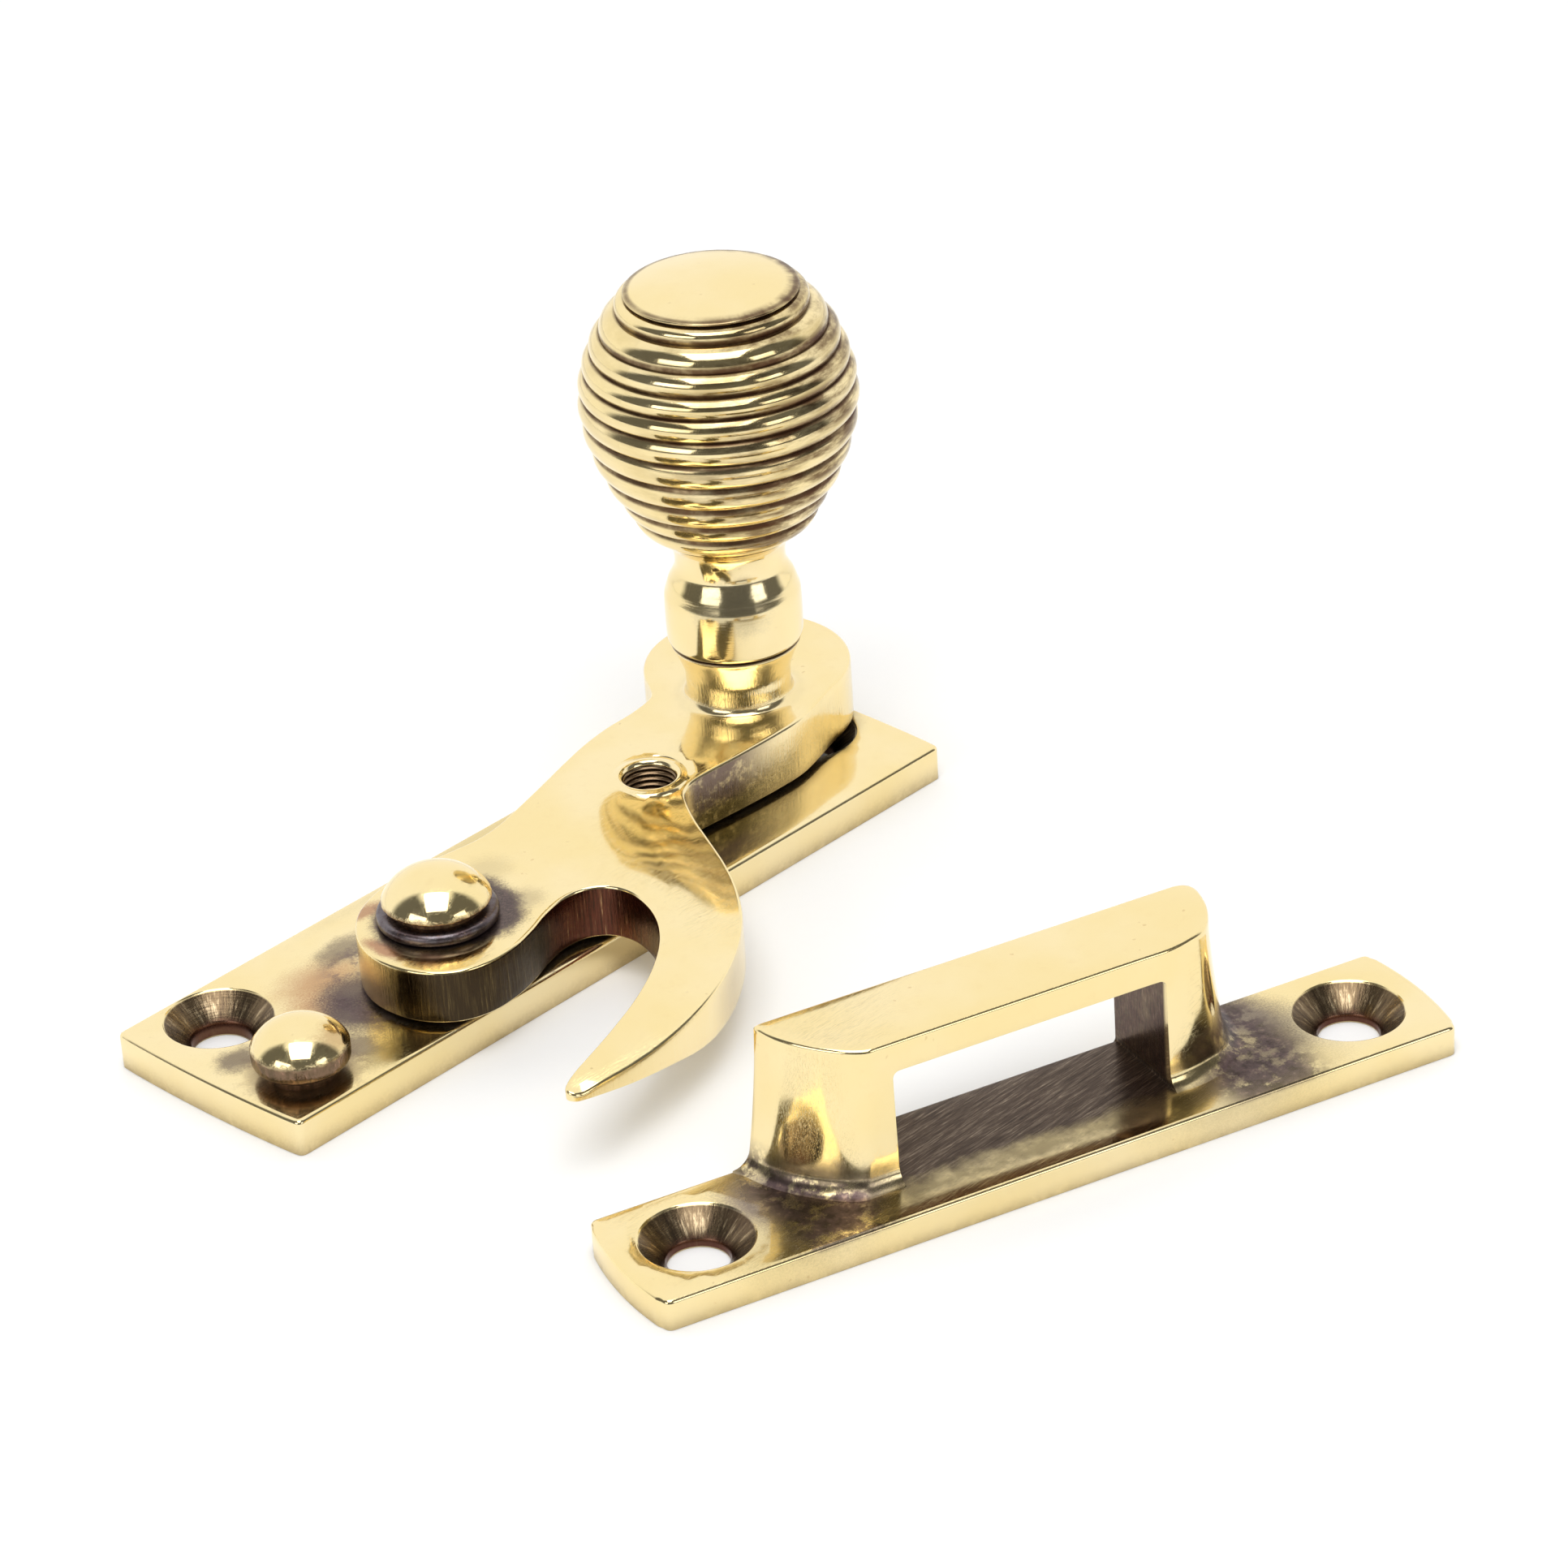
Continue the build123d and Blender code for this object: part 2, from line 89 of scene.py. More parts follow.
BASE_LO, BASE_HI = box_mm("base_plate")
POST_LO, POST_HI = box_mm("pivot_post")
WASHER_LO, WASHER_HI = box_mm("head_washer")
SPACER_LO, SPACER_HI = box_mm("spacer_washer")
STOP_LO, STOP_HI = box_mm("stop_stud")
LEVER_LO, _ = box_mm("hook_lever")
KNOB_LO, KNOB_HI = box_mm("beehive_knob")
KNOB_STUD_LO, KNOB_STUD_HI = box_mm("knob_stud")
_, KEEP_HI = box_mm("sash_keep")

POST_XY = centre_xy(POST_LO, POST_HI)
STOP_XY = centre_xy(STOP_LO, STOP_HI)
KNOB_XY = centre_xy(KNOB_LO, KNOB_HI)
LOCK_XY = centre_xy(*box_mm("lock_grub_screw"))

# both plates
PLATE_EDGE = 0.38                 # rounding of the upper edge
CSK_R, SCREW_R = 4.2, 2.3         # countersink and screw hole radii

# base plate
BASE_TOP = BASE_HI[2]
BASE_BOW = 0.35                   # bow of the ends
BASE_SCREWS = [(-15.0, 8.95), (44.0, 3.5)]

# pivot post head and stop stud
DOME_ANGLE = math.radians(70.0)   # part of the ellipse used for a crown
HEAD_H, HEAD_R = 2.45, 4.25
HEAD_Z = POST_HI[2] - HEAD_H
SHANK_R = 3.0
WASHER_BORE = 3.02
STOP_R = STOP_HI[0] - STOP_XY[0]
STOP_CROWN = 2.0
STOP_RIM = STOP_HI[2] - STOP_CROWN
STOP_UNDER = 4.3                  # where the stud head starts to turn in below

# knob: grooves as (height above the joint, radius), from the top down
KNOB_Z = KNOB_LO[2]
GROOVES = [
    (30.3, 6.90), (29.15, 7.80), (27.4, 9.20), (25.65, 9.98), (24.0, 10.58), (22.15, 10.91),
    (20.05, 10.86), (17.8, 10.38), (15.55, 9.55), (13.5, 8.50), (11.7, 7.30)]
GROOVE_DEPTH, BEAD_H = 0.42, 0.16
COLLAR_R, NECK_R = 5.48, 4.42
KNOB_BORE = 2.52

# hook lever
LEVER_Z0, LEVER_Z1 = LEVER_LO[2], 7.95
LEVER_RISE = 0.65                 # the arm rises this much towards the knob
LEVER_EDGE = 0.42                 # rounding of the upper edge
TIP_Z = 6.6                       # underside near the tip of the hook
DISC_C, DISC_R = (42.9, 8.4), 8.42
EYE_R = 3.05
BOSS_TOP = KNOB_Z - 0.05
BOSS_FOOT_Z = LEVER_Z1 + LEVER_RISE
LOCK_BORE = 2.3                   # foot of the threaded hole

# keep: u runs along its plate, v across it, turned about Z by KEEP_TURN
KEEP_MOUNT = [m for m in frame["record"]["mounts"] if m["name"] == "keep_back"][0]["pos_m"]
KEEP_C = (KEEP_MOUNT[0] * 1000, KEEP_MOUNT[1] * 1000)
KEEP_TURN = math.radians(-18.9)
KEEP_L, KEEP_W, KEEP_T = 65.6, 12.2, 2.5
KEEP_TOP = KEEP_HI[2]
KEEP_BOW = 0.7
KEEP_SCREWS = (-27.2, 27.2)       # u of the screw holes
LOOP_U0, LOOP_U1, LOOP_V0 = -18.9, 17.25, -1.5
OPEN_U0, OPEN_U1 = -11.75, 10.75  # opening through the loop
OPEN_TOP = KEEP_TOP - 2.45        # underside of the loop's bar
LOOP_FILLET = 1.25                # fillet between loop and plate


# ------------------------------------------------------------------ mesh helpers
def make(name, verts, faces, body, replaces=(), sharp_deg=None):
    """Smooth-shaded object from millimetre vertices, riding on a body."""
    mesh = bpy.data.meshes.new(name)
    mesh.from_pydata([(x * MM, y * MM, z * MM) for x, y, z in verts], [], faces)
    mesh.validate()
    bm = bmesh.new()
    bm.from_mesh(mesh)
    bmesh.ops.remove_doubles(bm, verts=bm.verts, dist=1e-7)
    bmesh.ops.dissolve_degenerate(bm, edges=bm.edges, dist=1e-8)
    bmesh.ops.recalc_face_normals(bm, faces=bm.faces)
    bm.to_mesh(mesh)
    bm.free()
    ob = bpy.data.objects.new(name, mesh)
    bpy.context.scene.collection.objects.link(ob)
    mesh.polygons.foreach_set("use_smooth", [True] * len(mesh.polygons))
    if sharp_deg is not None:
        mesh.set_sharp_from_angle(angle=math.radians(sharp_deg))
    for node in replaces:
        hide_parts(node)
    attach(ob, body)
    return ob


def lathe(name, profile, xy, body, replaces, sharp_deg, seg=TURN_SEG, wobble=None):
    """Turned piece from (radius, height) points; a radius of 0 is a single point on the axis."""
    verts, faces, rings = [], [], []
    for r, z in profile:
        if r < 1e-6:
            rings.append([len(verts)])
            verts.append((xy[0], xy[1], z))
            continue
        rings.append(list(range(len(verts), len(verts) + seg)))
        for k in range(seg):
            angle = 2 * math.pi * k / seg
            radius = r + (wobble(angle, r, z) if wobble else 0)
            verts.append((xy[0] + radius * math.cos(angle), xy[1] + radius * math.sin(angle), z))
    for a, b in zip(rings[:-1], rings[1:]):
        for k in range(seg):
            k2 = (k + 1) % seg
            if len(a) == 1:
                faces.append((a[0], b[k], b[k2]))
            elif len(b) == 1:
                faces.append((a[k], b[0], a[k2]))
            else:
                faces.append((a[k], b[k], b[k2], a[k2]))
    return make(name, verts, faces, body, replaces, sharp_deg)


def smooth_curve(points, closed, step):
    """Dense points along a centripetal Catmull-Rom curve through the given points."""
    p = [np.array(q, float) for q in points]
    count = len(p)
    curve = []
    for i in range(count if closed else count - 1):
        p0 = p[i - 1] if closed or i > 0 else 2 * p[0] - p[1]
        p1, p2 = p[i], p[(i + 1) % count]
        p3 = p[(i + 2) % count] if closed or i + 2 < count else 2 * p[-1] - p[-2]
        t0 = 0.0
        t1 = t0 + max(np.linalg.norm(p1 - p0), 1e-6) ** 0.5
        t2 = t1 + max(np.linalg.norm(p2 - p1), 1e-6) ** 0.5
        t3 = t2 + max(np.linalg.norm(p3 - p2), 1e-6) ** 0.5
        parts = max(1, int(math.ceil(np.linalg.norm(p2 - p1) / step)))
        for j in range(parts):
            t = t1 + (t2 - t1) * j / parts
            a1 = (t1 - t) / (t1 - t0) * p0 + (t - t0) / (t1 - t0) * p1
            a2 = (t2 - t) / (t2 - t1) * p1 + (t - t1) / (t2 - t1) * p2
            a3 = (t3 - t) / (t3 - t2) * p2 + (t - t2) / (t3 - t2) * p3
            b1 = (t2 - t) / (t2 - t0) * a1 + (t - t0) / (t2 - t0) * a2
            b2 = (t3 - t) / (t3 - t1) * a2 + (t - t1) / (t3 - t1) * a3
            curve.append((t2 - t) / (t2 - t1) * b1 + (t - t1) / (t2 - t1) * b2)
    if not closed:
        curve.append(p[-1])
    return curve


def resample(points, step=None, count=None):
    """Even spacing along a closed polyline, by step or by number of points."""
    p = np.array(points)
    lengths = np.linalg.norm(np.roll(p, -1, 0) - p, axis=1)
    run = np.concatenate([[0], np.cumsum(lengths)])
    if count is None:
        count = int(round(run[-1] / step))
    t = np.linspace(0, run[-1], count, endpoint=False)
    ring = np.vstack([p, p[:1]])
    return np.stack([np.interp(t, run, ring[:, 0]), np.interp(t, run, ring[:, 1])], 1)


def distance(points, line, closed=True):
    """Distance from each point to a polyline, worked out in blocks to save memory."""
    points = np.asarray(points, float)
    start = np.asarray(line, float)
    end = np.roll(start, -1, 0)
    if not closed:
        start, end = start[:-1], end[:-1]
    along = end - start
    length2 = (along ** 2).sum(1) + 1e-15
    nearest = np.zeros(len(points))
    for i in range(0, len(points), 2000):
        block = points[i:i + 2000]
        t = ((block[:, None, :] - start[None]) * along[None]).sum(2) / length2[None]
        foot = start[None] + np.clip(t, 0, 1)[..., None] * along[None]
        nearest[i:i + 2000] = np.sqrt(((block[:, None, :] - foot) ** 2).sum(2).min(1))
    return nearest


def inside(points, outline):
    """Even-odd test of each point against a closed outline."""
    points = np.asarray(points, float)
    a = np.asarray(outline, float)
    b = np.roll(a, -1, 0)
    x, y = points[:, 0][:, None], points[:, 1][:, None]
    ax, ay, bx, by = a[None, :, 0], a[None, :, 1], b[None, :, 0], b[None, :, 1]
    crosses = (ay > y) != (by > y)
    x_cross = (bx - ax) * (y - ay) / (by - ay + 1e-15) + ax
    return (np.sum(crosses & (x < x_cross), 1) % 2) == 1


def inset(outline, depth):
    """Move each point of a closed counter-clockwise outline inward."""
    p = np.asarray(outline, float)
    tangent = np.roll(p, -1, 0) - np.roll(p, 1, 0)
    normal = np.stack([-tangent[:, 1], tangent[:, 0]], 1)
    normal /= np.linalg.norm(normal, axis=1)[:, None] + 1e-12
    return p + normal * depth


def circle(xy, r):
    angles = [2 * math.pi * k / HOLE_SEG for k in range(HOLE_SEG)]
    return np.array([(xy[0] + r * math.cos(a), xy[1] + r * math.sin(a)) for a in angles])


def quarter_arc(x, y, r, start_deg, parts):
    angles = [math.radians(start_deg + 90 * i / parts) for i in range(parts + 1)]
    return [(x + r * math.cos(a), y + r * math.sin(a)) for a in angles]


def cap(outer, holes, height, spacing):
    """Triangulated sheet inside outer and outside the round holes, at height(points)."""
    low, high = outer.min(0), outer.max(0)
    xs = np.arange(low[0], high[0], spacing)
    ys = np.arange(low[1], high[1], spacing * 0.866)
    grid = np.array([(x + (spacing / 2 if j % 2 else 0), y) for j, y in enumerate(ys) for x in xs])
    grid = grid[inside(grid, outer)]
    grid = grid[distance(grid, outer) > spacing * 0.6]
    for hole in holes:
        centre = hole.mean(0)
        r = np.linalg.norm(hole[0] - centre)
        grid = grid[np.linalg.norm(grid - centre, axis=1) > r + spacing * 0.6]
    points, edges = [], []
    for ring in [outer] + list(holes):
        first, count = len(points), len(ring)
        points += [Vector(q) for q in ring]
        edges += [(first + i, first + (i + 1) % count) for i in range(count)]
    points += [Vector(q) for q in grid]
    flat, _, faces, _, _, _ = delaunay_2d_cdt(points, edges, [], 0, 1e-7)
    flat = np.array([(q.x, q.y) for q in flat])
    faces = [list(f) for f in faces]
    middles = np.array([flat[f].mean(0) for f in faces])
    keep = inside(middles, outer)
    for hole in holes:
        keep &= ~inside(middles, hole)
    faces = [f for f, kept in zip(faces, keep) if kept]
    return [(x, y, z) for (x, y), z in zip(flat, height(flat))], faces


class Shell:
    """Vertices and faces gathered from several patches."""

    def __init__(self):
        self.verts, self.faces = [], []

    def add(self, verts, faces):
        first = len(self.verts)
        self.verts += [tuple(q) for q in verts]
        self.faces += [tuple(first + i for i in face) for face in faces]

    def rings(self, rings):
        """Bands of quads between closed rings with equal numbers of points."""
        n = len(rings[0])
        band = [(i, (i + 1) % n, n + (i + 1) % n, n + i) for i in range(n)]
        for a, b in zip(rings[:-1], rings[1:]):
            self.add(list(a) + list(b), band)

    def fan(self, point, ring):
        n = len(ring)
        self.add([point] + ring, [(0, 1 + i, 1 + (i + 1) % n) for i in range(n)])


def ring3(outline, z):
    """Plan points lifted to one height or to a height each."""
    z = np.broadcast_to(np.asarray(z, float), (len(outline),))
    return [(x, y, h) for (x, y), h in zip(outline, z)]


def turned_rings(xy, profile):
    return [ring3(circle(xy, r), z) for r, z in profile]


def soft_noise(points, scale, seed, amplitude):
    """Smooth wander for hand-finished faces."""
    random = np.random.RandomState(seed)
    z = np.zeros(len(points))
    for _ in range(7):
        k = random.randn(2) / scale
        phase = random.rand() * 6.28
        z += math.sqrt(2 / 7) * np.sin(points[:, 0] * k[0] + points[:, 1] * k[1] + phase)
    return z * amplitude


def smooth01(t):
    t = np.clip(t, 0, 1)
    return t * t * (3 - 2 * t)


# ------------------------------------------------------------------ plates
def plate_outline(x0, x1, y0, y1, bow, corner_r, step):
    """Rectangle with rounded corners and ends bowed outward, counter-clockwise."""
    y_mid, half = (y0 + y1) / 2, (y1 - y0) / 2
    bow_r = (half * half + bow * bow) / (2 * bow)
    straight = y1 - y0 - 2 * corner_r

    def reach(y):
        return math.sqrt(bow_r * bow_r - (y - y_mid) ** 2)

    points = quarter_arc(x1 - corner_r, y0 + corner_r, corner_r, -90, 6)
    for i in range(1, 24):
        y = y0 + corner_r + straight * i / 24
        points.append((x1 + reach(y) - (bow_r - bow), y))
    points += quarter_arc(x1 - corner_r, y1 - corner_r, corner_r, 0, 6)
    points += quarter_arc(x0 + corner_r, y1 - corner_r, corner_r, 90, 6)
    for i in range(1, 24):
        y = y1 - corner_r - straight * i / 24
        points.append((x0 - reach(y) + (bow_r - bow), y))
    points += quarter_arc(x0 + corner_r, y0 + corner_r, corner_r, 180, 6)
    return resample(points, step)


def plate(name, outline, z0, top, screws, body, replaces, wander, seed,
          recesses=(), place=None):
    """Plate with a softened upper edge and countersunk holes.

    recesses: blind holes as (xy, [(radius, depth below the top)...]).
    """
    shell = Shell()
    edge = PLATE_EDGE
    edge_z = top - edge - 0.05

    def top_z(p):
        d = distance(p, outline)
        shoulder = 0.05 * np.exp(-np.maximum(d - edge, 0) / 0.9)
        return top - shoulder + soft_noise(p, 9.0, seed, wander) * np.clip(d / 2.0, 0, 1)

    wall = [(0, z0), (0, (z0 + top) / 2), (0, edge_z)]
    for i in range(1, 6):
        a = math.radians(90 * i / 6)
        wall.append((edge * (1 - math.cos(a)), edge_z + edge * math.sin(a)))
    rim = inset(outline, edge)
    shell.rings([ring3(inset(outline, d), z) for d, z in wall] + [ring3(rim, top_z(rim))])

    holes, bottoms = [], []
    cone_z = top - (CSK_R - SCREW_R)
    lip = 0.16                    # rounding round the countersink
    for xy in screws:
        mouth = circle(xy, CSK_R + lip)
        holes.append(mouth)
        shell.rings([ring3(mouth, top_z(mouth))] + turned_rings(xy, [
            (CSK_R + lip * 0.45, top - 0.03), (CSK_R + 0.02, top - 0.09),
            (CSK_R - 0.2, top - 0.31), (SCREW_R + 0.9, cone_z + 0.9),
            (SCREW_R + 0.12, cone_z + 0.12), (SCREW_R, cone_z - 0.08), (SCREW_R, z0)]))
        bottoms.append(circle(xy, SCREW_R))
    for xy, profile in recesses:
        mouth = circle(xy, profile[0][0])
        holes.append(mouth)
        rings = turned_rings(xy, [(r, top - depth) for r, depth in profile[1:]])
        shell.rings([ring3(mouth, top_z(mouth))] + rings)
        shell.fan((xy[0], xy[1], top - profile[-1][1]), rings[-1])
    shell.add(*cap(rim, holes, top_z, 1.1))
    shell.add(*cap(outline, bottoms, lambda p: np.full(len(p), z0), 4.0))
    verts = [place(q) for q in shell.verts] if place else shell.verts
    return make(name, verts, shell.faces, body, replaces, 42)


def build_base():
    outline = plate_outline(BASE_LO[0] + BASE_BOW, BASE_HI[0] - BASE_BOW, BASE_LO[1], BASE_HI[1],
                            bow=BASE_BOW, corner_r=0.5, step=0.22)
    dimple = (LOCK_XY, [(2.42, 0.0), (2.3, 0.1), (2.3, 0.9), (1.5, 1.3)])
    return plate("base_plate_v", outline, BASE_LO[2], BASE_TOP, BASE_SCREWS, "base",
                 ["base_plate"], wander=0.010, seed=5, recesses=[dimple])


# ------------------------------------------------------------------ post, washers, stop stud
def crown(r, z, h, parts=30):
    """Crown of a rivet: part of an ellipse, from its top to its rim."""
    points = []
    for i in range(parts + 1):
        a = DOME_ANGLE * i / parts
        drop = (math.cos(a) - math.cos(DOME_ANGLE)) / (1 - math.cos(DOME_ANGLE))
        points.append((r * math.sin(a) / math.sin(DOME_ANGLE), z + h * drop))
    return points


def build_post():
    def hammered(a, r, z):
        """Small flats round the rim of the head."""
        if r <= 4.0 or z >= HEAD_Z + 0.01:
            return 0
        return -abs(0.05 * math.sin(5 * a + 1) * math.sin(13 * a) + 0.03 * math.sin(23 * a + 2))

    profile = crown(HEAD_R - 0.02, HEAD_Z, HEAD_H) + [
        (HEAD_R, HEAD_Z - 0.03), (HEAD_R, HEAD_Z - 0.1), (HEAD_R - 0.03, HEAD_Z - 0.19),
        (HEAD_R - 0.12, HEAD_Z - 0.26), (HEAD_R - 0.3, HEAD_Z - 0.28), (3.55, HEAD_Z - 0.3),
        (3.55, WASHER_HI[2]), (SHANK_R, WASHER_HI[2]), (SHANK_R, 1.0), (3.9, 0.0), (0, 0)]
    return lathe("pivot_post_v", profile, POST_XY, "base", ["pivot_post"],
                 sharp_deg=50, wobble=hammered)


def build_washer():
    r = WASHER_HI[0] - POST_XY[0]
    z0, z1 = WASHER_LO[2], WASHER_HI[2]
    profile = [
        (WASHER_BORE, z0), (r - 0.28, z0), (r - 0.08, z0 + 0.1), (r, z0 + 0.32),
        (r - 0.01, z1 - 0.42), (r - 0.1, z1 - 0.15), (r - 0.32, z1 - 0.02),
        (WASHER_BORE, z1), (WASHER_BORE, z0)]
    return lathe("head_washer_v", profile, POST_XY, "base", ["head_washer"],
                 sharp_deg=60)


def build_spacer():
    r = SPACER_HI[0] - POST_XY[0]
    z0, z1 = SPACER_LO[2], SPACER_HI[2]
    profile = [
        (WASHER_BORE, z0), (r - 0.06, z0), (r, z0 + 0.1), (r, z1 - 0.1), (r - 0.06, z1),
        (WASHER_BORE, z1), (WASHER_BORE, z0)]
    return lathe("spacer_washer_v", profile, POST_XY, "base", ["spacer_washer"],
                 sharp_deg=60)


def build_stop_stud():
    r, rim, under = STOP_R, STOP_RIM, STOP_UNDER
    profile = crown(r - 0.03, rim, STOP_CROWN) + [
        (r - 0.005, rim - 0.06), (r, rim - 0.18), (r, rim - 0.5), (r, under + 0.3),
        (r - 0.02, under), (r - 0.1, under - 0.2), (r - 0.28, under - 0.4),
        (r - 0.55, under - 0.58), (2.85, under - 0.66), (2.8, under - 0.7),
        (2.8, BASE_TOP), (1.6, BASE_TOP), (1.6, 0.8), (2.3, 0.0), (0, 0)]
    return lathe("stop_stud_v", profile, STOP_XY, "base", ["stop_stud"],
                 sharp_deg=50)


# ------------------------------------------------------------------ knob
def build_knob():
    height = KNOB_HI[2] - KNOB_LO[2]
    first_z, first_r = GROOVES[0]
    cap_h = height - first_z - 0.15
    cap_r = (first_r ** 2 + cap_h ** 2) / (2 * cap_h)
    cap_angle = math.asin((first_r - 0.15) / cap_r)
    profile = []
    for i in range(25):
        a = cap_angle * i / 24
        profile.append((cap_r * math.sin(a), height - cap_r + cap_r * math.cos(a)))
    profile += [(first_r - 0.02, first_z + 0.12), (first_r, first_z + 0.04),
                (first_r - 0.04, first_z - 0.03), (first_r - GROOVE_DEPTH * 0.6, first_z - 0.12)]

    # a bead between each pair of grooves
    for (za, ra), (zb, rb) in zip(GROOVES[:-1], GROOVES[1:]):
        dr, dz = rb - ra, zb - za
        length = math.hypot(dr, dz)
        normal_r, normal_z = -dz / length, dr / length
        for i in range(1, 24):
            t = 0.03 + 0.94 * i / 24
            bulge = (BEAD_H + GROOVE_DEPTH) * math.sin(math.pi * t) ** 0.62 - GROOVE_DEPTH
            profile.append((ra + dr * t + normal_r * bulge, za + dz * t + normal_z * bulge))
        profile.append((rb - GROOVE_DEPTH * abs(normal_r) * 0.8, zb - GROOVE_DEPTH * normal_z * 0.8))

    # neck and collar below the last groove
    last_z, last_r = GROOVES[-1]
    neck_z = last_z - 4.6
    tail = [
        (last_r + 0.05, last_z - 0.35), (last_r - 0.25, last_z - 0.9), (last_r - 0.95, last_z - 1.5),
        (last_r - 1.8, last_z - 2.1), (last_r - 2.45, last_z - 2.8), (NECK_R + 0.08, last_z - 3.7),
        (NECK_R, neck_z), (NECK_R + 0.06, neck_z - 0.5), (NECK_R + 0.3, neck_z - 1.1),
        (NECK_R + 0.62, neck_z - 1.7), (COLLAR_R - 0.22, neck_z - 2.35),
        (COLLAR_R - 0.05, neck_z - 2.9), (COLLAR_R, neck_z - 3.5), (COLLAR_R, 1.2),
        (COLLAR_R - 0.04, 0.35), (COLLAR_R - 0.12, 0.12)]
    profile += [tuple(q) for q in smooth_curve(tail, False, 0.16)]
    bore_z = KNOB_STUD_HI[2] - KNOB_Z + 0.1
    profile += [(COLLAR_R - 0.3, 0.0), (KNOB_BORE, 0.0), (KNOB_BORE, bore_z), (0, bore_z)]
    return lathe("beehive_knob_v", [(r, z + KNOB_Z) for r, z in profile], KNOB_XY, "lever",
                 ["beehive_knob"], seg=KNOB_SEG, sharp_deg=65)


# ------------------------------------------------------------------ hook lever
# Plan of the lever as (x, y), counter-clockwise from the -X side of the eye.
EYE_AND_THROAT = [
    (-5.6, 3.1), (-6.75, 0.6), (-6.95, -1.9), (-6.3, -4.5), (-4.6, -6.6), (-2.2, -7.55),
    (0.8, -7.45), (3.4, -6.75), (5.7, -5.9), (8.0, -5.45), (9.9, -5.8), (11.2, -6.95),
    (11.65, -8.9), (11.1, -11.2), (9.9, -13.4), (7.9, -15.6), (4.9, -17.8), (1.2, -19.75),
    (-2.8, -21.3), (-7.0, -22.7), (-9.9, -23.65)]
TIP = [(-10.45, -24.0), (-10.75, -24.55), (-10.5, -25.05)]
HOOK_OUTER = [
    (-9.8, -25.3), (-6.2, -25.5), (-0.6, -24.95), (5.4, -23.5), (10.2, -21.2), (14.6, -17.9),
    (17.4, -14.7), (19.5, -11.5), (21.4, -7.9), (22.9, -5.0), (24.3, -2.7)]
HOOK_TO_ARM = [(24.7, -2.15), (25.2, -1.7), (25.85, -1.4)]
ARM_LOW = [(26.6, -1.3), (31.6, -1.6), (35.6, -1.75), (38.6, -1.6)]
ARM_HIGH = [
    (34.1, 10.8), (31.4, 10.2), (28.4, 10.15), (25.6, 9.8), (22.6, 9.1), (18.6, 8.0),
    (14.8, 7.0), (12.4, 6.45), (10.2, 6.3), (7.6, 6.6), (4.8, 7.0), (2.0, 7.05),
    (-0.8, 6.6), (-3.5, 5.3)]
# underside of the hook as (x, z)
HOOK_UNDER = [
    (-14, TIP_Z + 0.5), (-9.5, TIP_Z), (-5.0, 5.72), (-0.6, 4.78), (3.5, 3.85),
    (7.5, LEVER_Z0), (60, LEVER_Z0)]
# side wall from the bottom up: (share of the wall height, inset, lift)
LEVER_WALL = [
    (0.0, 0.12, 0.0), (0.0, 0.03, 0.03), (0.03, 0.0, 0.0), (0.2, 0.0, 0.0),
    (0.4, 0.0, 0.0), (0.6, 0.0, 0.0), (0.8, 0.0, 0.0), (1.0, 0.0, 0.0)]
EDGE_INSETS = (0.02, 0.06, 0.12, 0.2, 0.3, LEVER_EDGE)
# flare of the boss under the knob: (radius, height above its foot)
BOSS = [
    (4.98, 0.005), (4.8, 0.03), (4.6, 0.1), (4.43, 0.23), (4.31, 0.42), (4.24, 0.68),
    (4.21, 1.05), (4.21, 1.5), (4.25, 2.3), (4.45, 3.0), (4.75, 3.8), (5.02, 4.45),
    (5.2, BOSS_TOP - BOSS_FOOT_Z - 0.3)]
# raised lip of the threaded hole: (radius, height above the lever)
LOCK_LIP = [
    (3.02, 0.004), (2.9, 0.03), (2.76, 0.065), (2.6, 0.105), (2.42, 0.11), (2.27, 0.04),
    (2.16, -0.09), (2.1, -0.2), (2.08, -0.3)]
# one turn of the thread: (radius, drop), repeated at the pitch
THREAD = [(2.26, 0.02), (2.24, 0.10), (2.07, 0.20), (2.07, 0.25), (2.26, 0.42)]
THREAD_PITCH = 0.5
# lean of the top face in shading: (x, y, lean in x, lean in y)
TILT = np.array([
    (0, 0, 0, 0), (-4, -3, 0, 0), (6, -4, 0, 0), (8, 4, 0, 0), (12, 2, 0, 0), (11.5, -3, 0, 0),
    (15, 2.5, 0, 0), (18, 6, 0, 0), (22, 7, 0, 0), (28, 4, 0, 0), (32, 3, 0, 0), (40, 8, 0, 0),
    (36, 0, 0, 0), (24.95, 2.0, 0, -0.03), (28, -0.5, 0, -0.03), (15.3, -3.65, -0.002, -0.075),
    (14.0, -7.9, -0.12, -0.05), (12.9, -14.0, -0.18, -0.10), (21.6, 0.6, -0.03, -0.27),
    (23.8, -2.2, 0.03, -0.33), (19.0, -5.5, -0.04, -0.243), (17.0, -10.0, -0.106, -0.215),
    (22.5, -4.8, -0.029, -0.31), (18.5, -2.0, -0.03, -0.22), (20.2, -9.5, -0.06, -0.25),
    (15.7, -16.0, -0.112, -0.141), (18.1, -13.6, -0.09, -0.19), (13.0, -19.0, -0.15, -0.18),
    (9.0, -20.0, -0.17, -0.19), (5.0, -21.0, -0.17, -0.19), (0.0, -22.5, -0.16, -0.18),
    (-5.0, -24.0, -0.15, -0.17), (-9.0, -24.5, -0.15, -0.17), (11.8, -11.0, -0.17, -0.09)], float)
TILT_REACH = 2.3                  # spread of each lean value


